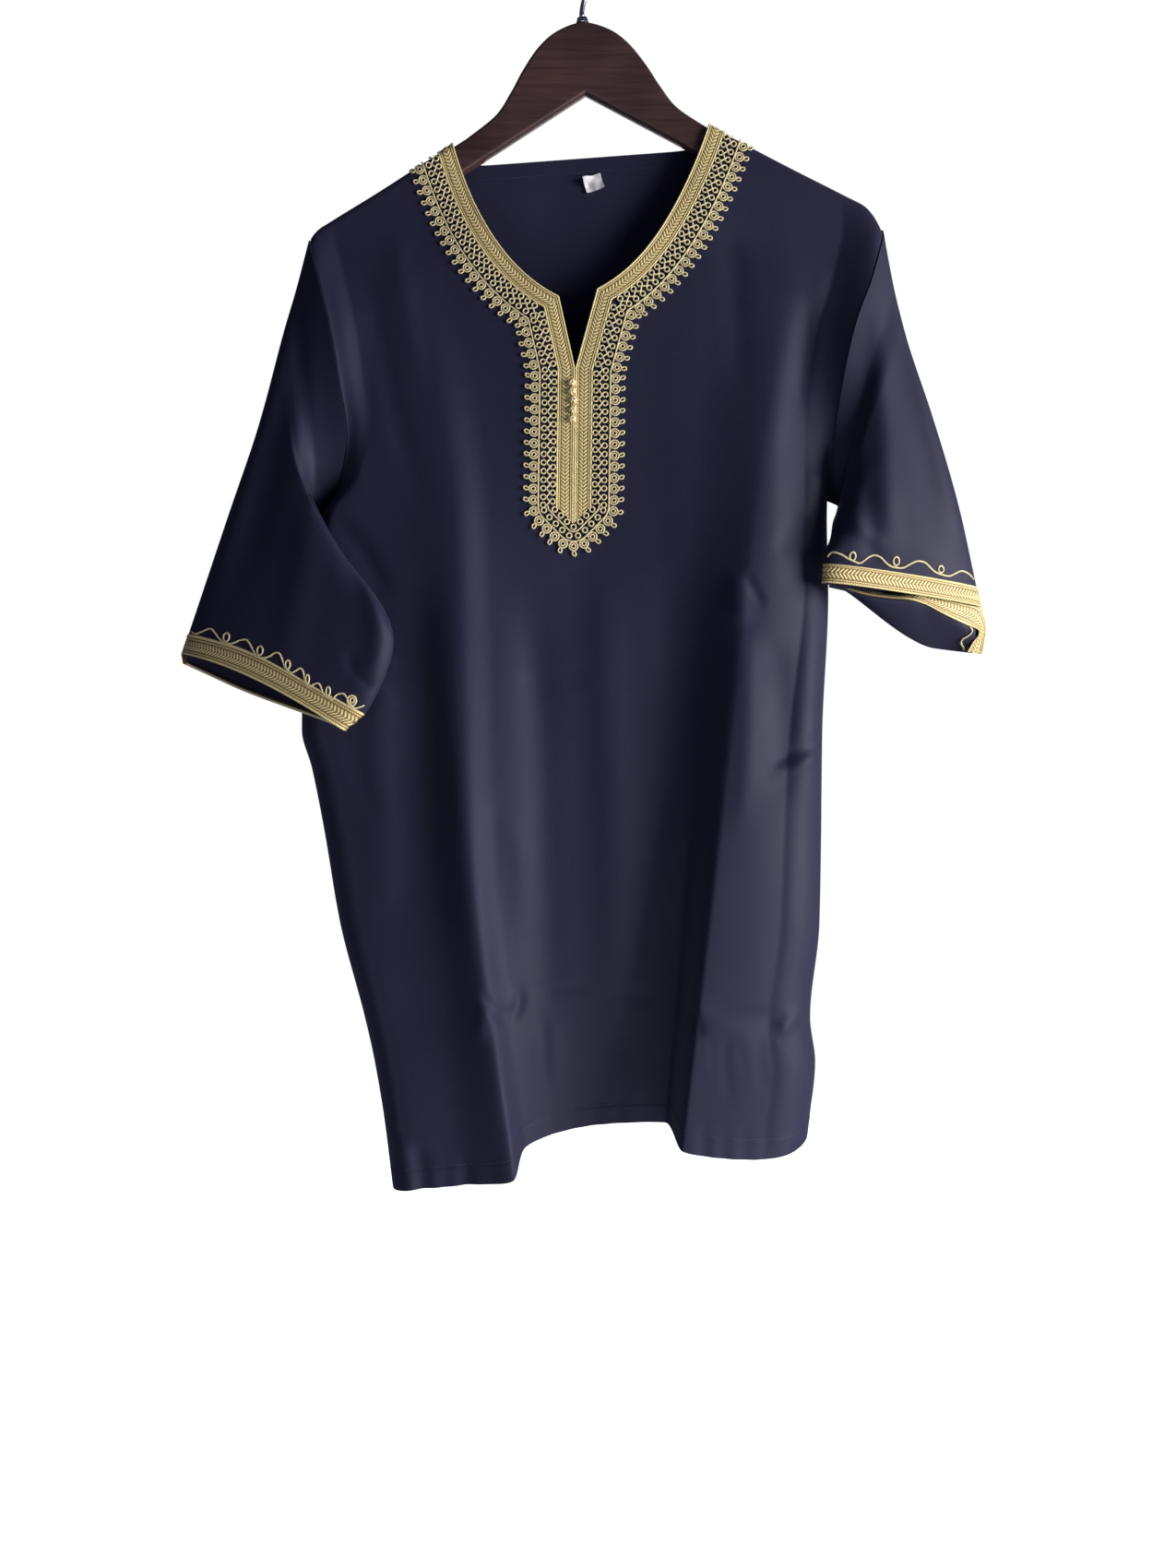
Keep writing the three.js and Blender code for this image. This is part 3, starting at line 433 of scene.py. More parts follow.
BACK_NECK_DIP = 14
BACK_NECK_SQUARENESS = 16
TRIM_START = 0.8
BODY_CUT = (620, 830)
PANEL_GRID = {"front": (170, 225), "back": (130, 190)}
WEAVE_PITCH = 0.62
NAVY = {"dark": (0.0080, 0.0082, 0.029, 1), "light": (0.0122, 0.0123, 0.041, 1)}

# Creases seen on the front: the line each follows, how far it stands out, and how wide it is
FRONT_CREASES = [
    {"line": [(-73.4, -842.9), (-64.1, -859.3), (-54.8, -867.1)], "rise": -2.7, "reach": 4},
    {"line": [(-55.0, -867.4), (-47.8, -859.6), (-45.0, -839.6)], "rise": -2.4, "reach": 4},
    {"line": [(-71.0, -852), (-74, -866), (-79, -884)], "rise": 2.1, "reach": 6},
    {"line": [(-62, -838), (-56, -850), (-52, -858)], "rise": 1.8, "reach": 5},
    {"line": [(86.2, -850), (90.2, -865.5), (95.1, -876)], "rise": -1.8, "reach": 4},
    {"line": [(88, -857), (108.5, -857.8), (132.8, -862.0), (153.5, -864.9), (158.4, -870.5)],
     "rise": -1.3, "reach": 6},
    {"line": [(154, -876), (159.9, -870.3), (166.9, -864.6), (182, -856)], "rise": 2.4, "reach": 6},
    {"line": [(92.3, -869), (108, -870), (126, -877), (139, -884)], "rise": 0.9, "reach": 8},
    {"line": [(-45.6, -842.3), (-18, -845.5), (14, -842.5)], "rise": -0.8, "reach": 5},
    {"line": [(16, -848), (40, -851.5), (66, -848.7)], "rise": -0.45, "reach": 7},
    {"line": [(129, -521), (134, -530), (145.2, -547.7)], "rise": -1.8, "reach": 4},
    {"line": [(127.6, -520), (122, -538.8), (125.4, -562)], "rise": 2.4, "reach": 9},
    {"line": [(151.4, -560), (155.7, -626.5), (157.1, -700)], "rise": -3.6, "reach": 13},
    {"line": [(184, -545), (184.9, -632.5), (184, -700)], "rise": 1.8, "reach": 11},
    {"line": [(131.4, -560), (131.4, -647.8), (123, -730)], "rise": 1.8, "reach": 10},
    {"line": [(146, -678), (171.3, -668.5), (192, -659)], "rise": 2.1, "reach": 6},
    {"line": [(146, -667.5), (171.3, -658), (192, -649)], "rise": -2.1, "reach": 6},
    {"line": [(-158, -560), (-156.3, -676.0), (-148, -790)], "rise": 3, "reach": 13},
    {"line": [(-122, -500), (-119, -618.5), (-105, -790)], "rise": -2.4, "reach": 15},
    {"line": [(-168, -578), (-154, -584), (-140, -589)], "rise": 0.96, "reach": 4},
    {"line": [(-167, -598), (-156, -612), (-143, -622)], "rise": 0.96, "reach": 4.5},
    {"line": [(-136.2, -955.0), (-133, -980), (-129.8, -1010)], "rise": 1.8, "reach": 5},
    {"line": [(-125, -962.0), (-122, -985), (-120, -1010)], "rise": -1.8, "reach": 6},
    {"line": [(-86, -975.0), (-85, -1005)], "rise": -1.2, "reach": 7},
    {"line": [(20, -500), (24, -600), (28, -760), (30, -900)], "rise": 3.6, "reach": 18},
    {"line": [(76, -500), (74, -600), (70, -760), (58, -900)], "rise": -3, "reach": 18},
    {"line": [(-38, -520), (-31, -640), (-27, -780), (-24, -900)], "rise": -3.4, "reach": 15},
    {"line": [(-52, -598), (-20, -601), (10, -599)], "rise": -0.72, "reach": 7},
    {"line": [(-29.6, -862), (-28, -885), (-24, -925)], "rise": -0.84, "reach": 4},
    {"line": [(-19.0, -868), (-18, -895), (-17, -930)], "rise": 0.72, "reach": 4.5},
    {"line": [(100, -874), (103, -890), (104, -906)], "rise": -0.4, "reach": 3.5},
    {"line": [(114, -876), (112, -894), (117, -931)], "rise": -0.7, "reach": 4.5},
    {"line": [(122, -880), (125, -893), (124, -903)], "rise": -0.25, "reach": 3.5},
    {"line": [(142, -880), (140, -902), (145, -922)], "rise": -0.5, "reach": 5.5},
    {"line": [(-172, -262), (-160, -320), (-142, -400), (-122, -470)], "rise": -1.5, "reach": 10},
    {"line": [(-148, -235), (-138, -300), (-122, -380)], "rise": 1.2, "reach": 9},
    {"line": [(120, -235), (125, -300), (128, -380)], "rise": -1.2, "reach": 9},
    {"line": [(196, -262), (188, -330), (172, -420)], "rise": 1.5, "reach": 9},
    {"line": [(184, -290), (175, -360), (160, -450)], "rise": -1.5, "reach": 9},
    {"line": [(-196, -470), (-170, -500), (-150, -540)], "rise": -1.8, "reach": 8},
    {"line": [(194, -462), (172, -480), (155, -510)], "rise": -1.5, "reach": 7},
    {"line": [(-186, -650), (-160, -700), (-150, -760)], "rise": -0.9, "reach": 7},
    {"line": [(-60, -700), (-45, -740), (-40, -800)], "rise": 0.84, "reach": 9},
    {"line": [(-196, -262), (-190, -330), (-182, -400), (-180, -462)], "rise": 3, "reach": 13},
]
BACK_CREASES = [
    {"line": [(-150, -300), (-140, -420), (-126, -560)], "rise": -4, "reach": 12},
    {"line": [(-108, -560), (-98, -700), (-84, -880)], "rise": 4, "reach": 10},
    {"line": [(-84, -840), (-70, -862), (-52, -868)], "rise": -3, "reach": 5},
    {"line": [(-40, -540), (-34, -700), (-28, -900)], "rise": -5, "reach": 17},
    {"line": [(-2, -300), (4, -520), (12, -760), (14, -900)], "rise": 4, "reach": 15},
    {"line": [(48, -420), (50, -640), (52, -900)], "rise": -5, "reach": 18},
    {"line": [(124, -560), (116, -720), (98, -900)], "rise": 4, "reach": 11},
    {"line": [(92, -858), (120, -852), (150, -866)], "rise": -3, "reach": 5},
    {"line": [(160, -300), (156, -430), (150, -600)], "rise": -4, "reach": 12},
    {"line": [(-60, -640), (-20, -634), (24, -640)], "rise": -1.4, "reach": 7},
    {"line": [(-186, -610), (-160, -640), (-140, -690)], "rise": 2.5, "reach": 8},
    {"line": [(150, -650), (170, -664), (190, -672)], "rise": 3, "reach": 6},
    {"line": [(112, -905), (115, -935), (114, -960)], "rise": -1.5, "reach": 5},
    {"line": [(-112, -955), (-108, -980), (-106, -1010)], "rise": 2.5, "reach": 6},
    {"line": [(20, -880), (22, -915), (20, -945)], "rise": 1.5, "reach": 5},
]


def curve_at(stops, values, at):
    """A smooth curve through values at rising stops; a value is one number, or one for each place."""
    stops = np.asarray(stops, float)
    at = np.clip(np.asarray(at, float), stops[0], stops[-1])
    values = np.asarray(values, float)
    if values.ndim == 1:
        values = np.broadcast_to(values[:, None], (len(values), at.size))
    rises = np.diff(values, axis=0) / np.diff(stops)[:, None]
    both = rises[:-1] * rises[1:]
    total = rises[:-1] + rises[1:]
    inner = np.where(both > 0, 2 * both / np.where(total == 0, 1, total), 0)
    slopes = np.vstack([rises[:1], inner, rises[-1:]])
    i = np.clip(np.searchsorted(stops, at, side="left") - 1, 0, len(stops) - 2)
    n = np.arange(at.size)
    span = stops[i + 1] - stops[i]
    t = (at - stops[i]) / span
    return ((2 * t**3 - 3 * t**2 + 1) * values[i, n] + (t**3 - 2 * t**2 + t) * span * slopes[i, n]
            + (3 * t**2 - 2 * t**3) * values[i + 1, n] + (t**3 - t**2) * span * slopes[i + 1, n])


def by_height(heights, values, z):
    """A table read downwards, so that its stops rise."""
    return curve_at([-height for height in heights], values, -np.asarray(z, float))


def arm_height(side, x):
    """Height of the shoulder line over one arm of the hanger, drooping past the arm's end."""
    foot = rolled((side * CROWN[-1][0], CROWN[-1][1]))
    end = rolled((side * ARM_END[0], ARM_END[1]))
    past = np.maximum(0, side * (x - end[0]))
    slope = (end[1] - foot[1]) / (end[0] - foot[0])
    return foot[1] + slope * (x - foot[0]) - TIP_DROOP * past**2 + SHOULDER_RISE


def shoulder_height(x):
    x = np.asarray(x, float)
    left, right = NECK["left"]["shoulder"][0], NECK["right"]["shoulder"][0]
    from_left, from_right = arm_height(-1, np.array(left)), arm_height(1, np.array(right))
    over_neck = between(from_left, from_right, (x - left) / (right - left))
    return np.where(x < left, arm_height(-1, x), np.where(x > right, arm_height(1, x), over_neck))


def crease_relief(creases, x, z):
    """How far the creases lift or sink the cloth at each place, softly, fading at both ends of each line."""
    lift = np.zeros_like(x)
    for crease in creases:
        line = spline_through(crease["line"], 16)
        reach = 2.6 * crease["reach"]
        near = ((x > line[:, 0].min() - reach) & (x < line[:, 0].max() + reach)
                & (z > line[:, 1].min() - reach) & (z < line[:, 1].max() + reach))
        if not near.any():
            continue
        spots = np.stack([x[near], z[near]], -1)
        closest, share = np.full(len(spots), np.inf), np.zeros(len(spots))
        for i in range(len(line) - 1):
            way = line[i + 1] - line[i]
            t = np.clip((spots - line[i]) @ way / (way @ way), 0, 1)
            gap = np.linalg.norm(spots - line[i] - t[:, None] * way, axis=1)
            share = np.where(gap < closest, (i + t) / (len(line) - 1), share)
            closest = np.minimum(closest, gap)
        fade = eased(np.minimum(share, 1 - share), 0, 0.3)
        lift[near] += crease["rise"] * fade * np.exp(-(closest / crease["reach"]) ** 2)
    return lift


def unevenness(x, z):
    """The slight waviness of cloth that has been folded and carried, a few tenths of a millimetre."""
    return (0.32 * np.sin(x / 21 + 0.9 * np.sin(z / 63)) * np.sin(z / 77 + 1.3)
            + 0.22 * np.sin(x / 9.5 + z / 140 + 2 * np.sin(z / 90))
            + 0.16 * np.sin(z / 17 + 1.7 * np.sin(x / 45)))


def panel_rule(folds, creases, facing):
    """A body panel as a rule: shares across and down it, each from 0 to 1, give points of its outer face."""
    shares = np.array([0, *[fold["share"] for fold in folds], 1])
    heights = [row[0] for row in SIDES]
    bulge = ARMHOLE_BULGE["front" if facing < 0 else "back"]

    def fold_places(z):
        left = by_height(heights, [row[1] for row in SIDES], z)
        right = by_height(heights, [row[2] for row in SIDES], z)
        places = [left]
        for i, fold in enumerate(folds):
            if "x" in fold:
                places.append(by_height(FOLD_HEIGHTS, fold["x"], z))
            else:
                inset = by_height(FOLD_HEIGHTS, fold["inset"], z)
                places.append(left + inset if i == 0 else right - inset)
        return np.stack([*places, right])

    top_places = fold_places(np.array([FOLD_HEIGHTS[0]]))[:, 0]
    hems = [HEM_ENDS[0], *[fold["hem"] for fold in folds], HEM_ENDS[1]]

    def rule(across, down, creased=True):
        across, down = (part.ravel().astype(float) for part in np.broadcast_arrays(across, down))
        top = shoulder_height(curve_at(shares, top_places, across))
        hem = curve_at(shares, hems, across)
        z = between(top, hem, down)
        below = top - z
        opened = np.minimum(1, down / ARMHOLE_SHARE)
        edge = SHOULDER_DEPTH * (1 - opened) + 4 * bulge * opened * (1 - opened) + SEAM_GAP / 2
        drape = eased(below, *DRAPE)
        places = fold_places(z)
        depths = [between(SHOULDER_DEPTH, by_height(FOLD_HEIGHTS, fold["depth"], z), drape) for fold in folds]
        depths = np.stack([edge, *depths, edge])
        x, depth = curve_at(shares, places, across), curve_at(shares, depths, across)
        roundness = between(0.2, 1, opened**ROUNDING_POWER)
        for side, share in ((0, across / shares[1]), (-1, (1 - across) / (1 - shares[-2]))):
            next_in = 1 if side == 0 else -2
            part = np.clip(share, 0, 1)
            ease_x = between(part, 1 - np.cos(part * math.pi / 2), roundness)
            ease_depth = between(part, np.sin(part * math.pi / 2), roundness)
            x = np.where(share < 1, between(places[side], places[next_in], ease_x), x)
            depth = np.where(share < 1, between(depths[side], depths[next_in], ease_depth), depth)
        short = 1 - np.clip(below / SHOULDER_ROUND, 0, 1)
        wrap = (1 - short**SHOULDER_SQUARENESS) ** (1 / SHOULDER_SQUARENESS)
        if not creased:
            return np.stack([x, facing * np.maximum(SEAM_GAP / 2, depth * wrap), z], -1)
        free = eased(below, 12, 60) * eased(np.minimum(across, 1 - across), 0, 0.06)
        lift = crease_relief(creases, x, z) + unevenness(x, z)
        from_hem = -(z - hem)
        edge_of_turn = -HEM_TURN["height"]
        pucker = np.sin(x / 3.1 + 1.5 * np.sin(x / 17))
        lift += HEM_TURN["pucker"] * pucker * eased(from_hem, -34, 0)
        lift += HEM_TURN["proud"] * eased(from_hem, edge_of_turn - 0.7, edge_of_turn + 0.7)
        from_seam = np.maximum(SEAM_GAP / 2, depth * wrap + lift * free)
        return np.stack([x, facing * from_seam, z], -1)

    rule.shares, rule.fold_places = shares, fold_places
    return rule


def grid_normals(grid, outward, closed=False):
    """Outward normals of a grid of points, row by row down the cloth."""
    if closed:
        left, right = np.roll(grid, 1, 1), np.roll(grid, -1, 1)
    else:
        left = np.concatenate([grid[:, :1], grid[:, :-1]], 1)
        right = np.concatenate([grid[:, 1:], grid[:, -1:]], 1)
    above, under = np.concatenate([grid[:1], grid[:-1]]), np.concatenate([grid[1:], grid[-1:]])
    return unit(np.cross(right - left, under - above)) * outward


def shell_faces(rows, columns, closed=False):
    """Faces of a thin cloth: its outer grid, its inner grid and the cut edges between them."""
    behind = rows * columns
    outer = grid_faces(rows, columns, closed)
    inner = outer[:, ::-1] + behind

    def rim(line):
        return np.stack([line[1:], line[:-1], line[:-1] + behind, line[1:] + behind], -1)

    across = np.arange(columns + 1) % columns if closed else np.arange(columns)
    rims = [rim(across[::-1]), rim(across + (rows - 1) * columns)]
    if not closed:
        down = np.arange(rows) * columns
        rims += [rim(down), rim((down + columns - 1)[::-1])]
    return np.concatenate([outer, inner, *rims])


def down_stops(count):
    """Rows down a panel: close together over the shoulder, even below, and close again at the hem."""
    over = np.linspace(0, 1, 15) ** 1.7 * 0.028
    turn = 1 - np.array([16, 15, 14.4, 13.6, 13, 12]) / 800
    even = np.linspace(0.028, 1, count)[1:]
    return np.unique(np.concatenate([over, even[:-6], turn, np.linspace(turn[-1], 1, 5)[1:]]))


def cut_away(piece, outline, near, far):
    """Cut the shape of an outline, seen from the front, right through a piece between two depths."""
    outline = np.asarray(outline, float)
    count = len(outline)
    points = [(x, near, z) for x, z in outline] + [(x, far, z) for x, z in outline]
    faces = [list(range(count)), list(range(2 * count - 1, count - 1, -1))]
    faces += [[i, i + count, (i + 1) % count + count, (i + 1) % count] for i in range(count)]
    mesh = bpy.data.meshes.new("cutter")
    mesh.from_pydata((np.array(points) * MM).tolist(), [], faces)
    work = bmesh.new()
    work.from_mesh(mesh)
    bmesh.ops.recalc_face_normals(work, faces=work.faces)
    work.to_mesh(mesh)
    work.free()
    cutter = bpy.data.objects.new("cutter", mesh)
    scene.collection.objects.link(cutter)
    cut = piece.modifiers.new("cut", "BOOLEAN")
    cut.object, cut.operation, cut.solver = cutter, "DIFFERENCE", "EXACT"
    result = bpy.data.meshes.new_from_object(piece.evaluated_get(bpy.context.evaluated_depsgraph_get()))
    piece.modifiers.clear()
    piece.data = result
    bpy.data.objects.remove(cutter)
    result.set_sharp_from_angle(angle=math.radians(50))


def navy_cloth():
    """A light plain weave with uneven threads, dull face on and softly bright where it turns away."""
    paint, tree, surface = new_paint("navy cloth", Roughness=0.66, Sheen_Weight=0.12, Sheen_Roughness=0.5,
                                     Sheen_Tint=(0.75, 0.72, 1, 1), Specular_IOR_Level=0.3)
    threads = add_node(tree, "UVMap", uv_map="cloth").outputs[0]
    across, down = add_node(tree, "SeparateXYZ", {0: threads}).outputs[:2]
    weave = []
    for run in (across, down):
        beat = add_node(tree, "Math", {0: run, 1: 2 * math.pi / WEAVE_PITCH}, operation="MULTIPLY")
        weave.append(add_node(tree, "Math", {0: beat.outputs[0]}, operation="SINE").outputs[0])
    woven = add_node(tree, "Math", {0: weave[0], 1: weave[1]}, operation="MULTIPLY").outputs[0]
    slubs = []
    for scale in ((0.05, 1.4, 1), (1.6, 0.04, 1)):
        run = add_node(tree, "Mapping", {"Vector": threads, "Scale": scale})
        slub = add_node(tree, "TexNoise", {"Vector": run.outputs[0], "Scale": 1.0, "Detail": 3})
        slubs.append(slub.outputs["Fac"])
    both_ways = add_node(tree, "Math", {0: slubs[0], 1: slubs[1]}, operation="ADD").outputs[0]
    relief = add_node(tree, "Math", {0: woven, 1: 0.35, 2: both_ways}, operation="MULTIPLY_ADD").outputs[0]
    bump = add_node(tree, "Bump", {"Height": relief, "Strength": 0.3, "Distance": 0.00012})
    shade = add_node(tree, "MapRange", {"Value": both_ways, "From Min": 0.7, "From Max": 1.3})
    tone = blend_tones(tree, shade.outputs[0], NAVY)
    worn = add_node(tree, "TexNoise", {"Vector": threads, "Scale": 0.012, "Detail": 3})
    dullness = add_node(tree, "MapRange", {"Value": worn.outputs["Fac"], "To Min": 0.54, "To Max": 0.72})
    tree.links.new(tone.outputs[0], surface.inputs["Base Color"])
    tree.links.new(bump.outputs[0], surface.inputs["Normal"])
    tree.links.new(dullness.outputs[0], surface.inputs["Roughness"])
    return paint


def make_panel(name, rule, outward, columns, rows, paint):
    across, down = np.linspace(0, 1, columns + 1), down_stops(rows)
    down = np.unique(np.append(down, ARMHOLE_SHARE))
    shape = (len(down), len(across), 3)
    outer = rule(across[None, :], down[:, None]).reshape(shape)
    normals = grid_normals(outer, outward)
    normals[0, :, 1] = 0
    below_armhole = down >= ARMHOLE_SHARE
    normals[below_armhole, 0] = (-1, 0, 0)
    normals[below_armhole, -1] = (1, 0, 0)
    normals = unit(normals)
    points = np.concatenate([outer.reshape(-1, 3), (outer - normals * CLOTH).reshape(-1, 3)])
    faces = outward_faces(points, shell_faces(len(down), len(across)))
    places = np.broadcast_arrays(across[None, :] * BODY_CUT[0], down[:, None] * BODY_CUT[1])
    coords = np.stack(places, -1).reshape(-1, 2)
    return new_piece(name, points, faces, paint, coords=np.concatenate([coords, coords]))


def neckline_edge(leg, distance, steps):
    """The neckline moved out by a distance: its curve, its bend at the foot of the slit, and its end."""
    shoulder, pull, corner = (np.array(leg[key], float) for key in ("shoulder", "pull", "corner"))
    foot, tip = np.array(SLIT_FOOT, float), np.array(PLACKET_TIP, float)

    def away(way):
        return np.stack([way[..., 1], -way[..., 0]], -1) * -leg["side"]

    def moved(t):
        t = np.atleast_1d(t)[:, None]
        point = (1 - t) ** 2 * shoulder + 2 * t * (1 - t) * pull + t**2 * corner
        tangent = unit(2 * (1 - t) * (pull - shoulder) + 2 * t * (corner - pull))
        return point + away(tangent) * distance

    def search(low, high, passed):
        for _ in range(40):
            middle = (low + high) / 2
            low, high = (low, middle) if passed(moved(middle)[0]) else (middle, high)
        return (low + high) / 2

    slit_out, placket_out = away(unit(foot - corner)), away(unit(tip - foot))
    start = search(0, 0.5, lambda point: point[1] < shoulder_height(point[0]) - TRIM_START)
    stop = search(0.3, 1, lambda point: (point - corner) @ slit_out < distance)
    bend = unit(slit_out + placket_out)
    return {
        "curve": moved(np.linspace(start, stop, steps + 1)),
        "bend": foot + bend * distance / (bend @ slit_out),
        "foot": tip + placket_out * distance,
    }


def cut_neck(front, back):
    left, right = NECK["left"], NECK["right"]
    lx, lz = left["shoulder"]
    rx, rz = right["shoulder"]
    outline = [(lx - 4, lz + 60), (lx - 0.1, lz + 2), *neckline_edge(left, 0, 60)["curve"], SLIT_FOOT,
               *neckline_edge(right, 0, 60)["curve"][::-1], (rx + 0.1, rz + 2), (rx + 4, rz + 60)]
    cut_away(front, outline, -70, 4)
    share = (1 - np.cos(np.arange(97) / 96 * math.pi)) / 2
    dip = BACK_NECK_DIP * (1 - (2 * share - 1) ** BACK_NECK_SQUARENESS)
    line = np.stack([between(lx, rx, share), between(lz, rz, share) - dip], -1)
    cut_away(back, [(lx, lz + 60), *line, (rx, rz + 60)], -4, 70)


cloth = navy_cloth()
front_rule = panel_rule(FRONT_FOLDS, FRONT_CREASES, -1)
back_rule = panel_rule(BACK_FOLDS, BACK_CREASES, 1)
front = make_panel("front_cloth", front_rule, -1, *PANEL_GRID["front"], cloth)
back = make_panel("back_cloth", back_rule, 1, *PANEL_GRID["back"], cloth)
cut_neck(front, back)
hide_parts("front_panel")
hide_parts("back_panel")


# Sleeves: two short straight sleeves of the same cloth, set to the armholes, flat and drooping as they hang.
# The back layer of the right sleeve drops well below its front, so the inside of the cuff shows there.
SLEEVE_GAP = 0.65
SETTLE = 0.4
SWELL = 0.8
FRONT_DROOP_ANGLE = 0.12
BACK_DROOP_ANGLES = (1.05, 2.6)
DROOP_FROM = 0.45
CLOTH_END = {"left": 0.986, "right": 1.0}
SLEEVE_CUT = (460, 350)
SLEEVE_SIDES = 150
SLEEVES = {
    "left": {"side": -1, "droop": 7, "arch": 7.5, "rings": [
        {"along": 0, "outer": (-217, 0, -247), "inner": (-208, 0, -473), "front": 16, "back": 20},
        {"along": 0.12, "outer": (-226, -1, -282), "inner": (-220, -3, -478), "front": 14, "back": 20},
        {"along": 0.25, "outer": (-236, -3, -318), "inner": (-217, -24, -488), "front": 13, "back": 18},
        {"along": 0.5, "outer": (-256, -5, -396), "inner": (-176, -47, -516), "front": 14, "back": 16},
        {"along": 0.75, "outer": (-284, -6, -480), "inner": (-142, -62, -574), "front": 16, "back": 14},
        {"along": 0.92, "outer": (-312, -6, -564), "inner": (-160, -62, -624), "front": 16, "back": 12},
        {"along": 1, "outer": (-317, -6, -580), "inner": (-180, -58, -642), "front": 16, "back": 12},
    ]},
    "right": {"side": 1, "droop": 36, "arch": 0, "rings": [
        {"along": 0, "outer": (243, 0, -247), "inner": (201, 0, -456), "front": 20, "back": 20},
        {"along": 0.12, "outer": (251, -1, -282), "inner": (209, -5, -461), "front": 20, "back": 20},
        {"along": 0.25, "outer": (260, -3, -318), "inner": (203, -18, -475), "front": 24, "back": 18},
        {"along": 0.5, "outer": (282, -5, -390), "inner": (198, -35, -491), "front": 24, "back": 16},
        {"along": 0.75, "outer": (304, -6, -468), "inner": (193, -43, -503), "front": 22, "back": 16},
        {"along": 0.92, "outer": (318, -6, -526), "inner": (192, -42, -512), "front": 17, "back": 14},
        {"along": 1, "outer": (322, -6, -542), "inner": (191, -42, -527), "front": 15, "back": 14},
    ]},
}
SLEEVE_CREASES = {
    "left": [
        {"line": [(-176, -405), (-186, -450), (-176, -500), (-162, -545)], "rise": -4, "reach": 9},
        {"line": [(-168, -470), (-156, -520), (-151, -580), (-157, -618)], "rise": 3.5, "reach": 10},
        {"line": [(-214, -270), (-226, -360), (-246, -450), (-268, -540)], "rise": -3, "reach": 14},
        {"line": [(-232, -300), (-250, -390), (-276, -480), (-296, -556)], "rise": 2.5, "reach": 11},
        {"line": [(-196, -440), (-210, -500), (-220, -560), (-226, -606)], "rise": 2.5, "reach": 14},
        {"line": [(-178, -580), (-168, -600), (-152, -612)], "rise": -2.5, "reach": 4.5},
        {"line": [(-176, -602), (-164, -612), (-152, -622)], "rise": 2, "reach": 4.5},
        {"line": [(-214, -290), (-213, -350), (-206, -410), (-196, -460)], "rise": 2, "reach": 13},
        {"line": [(-206, -468), (-190, -478), (-172, -496)], "rise": -2.5, "reach": 6},
    ],
    "right": [
        {"line": [(246, -270), (254, -340), (268, -420), (280, -500)], "rise": -3, "reach": 12},
        {"line": [(236, -290), (238, -370), (240, -450), (244, -520)], "rise": 2.5, "reach": 10},
        {"line": [(268, -330), (286, -410), (304, -500)], "rise": 2.5, "reach": 10},
        {"line": [(214, -420), (210, -460), (204, -500)], "rise": -2.5, "reach": 7},
        {"line": [(222, -440), (226, -480), (228, -520)], "rise": -2, "reach": 8},
        {"line": [(206, -470), (220, -488), (240, -500)], "rise": 1.8, "reach": 6},
    ],
}
SLEEVE_BACK_CREASES = {
    "left": [
        {"line": [(-226, -300), (-240, -400), (-262, -520)], "rise": 3, "reach": 12},
        {"line": [(-206, -420), (-212, -500), (-226, -590)], "rise": -3, "reach": 12},
        {"line": [(-176, -500), (-160, -560), (-166, -610)], "rise": 2.5, "reach": 9},
    ],
    "right": [
        {"line": [(250, -290), (266, -390), (290, -500)], "rise": 3, "reach": 12},
        {"line": [(222, -430), (232, -490), (240, -540)], "rise": -3, "reach": 10},
        {"line": [(276, -470), (286, -520), (290, -560)], "rise": 2, "reach": 9},
    ],
}


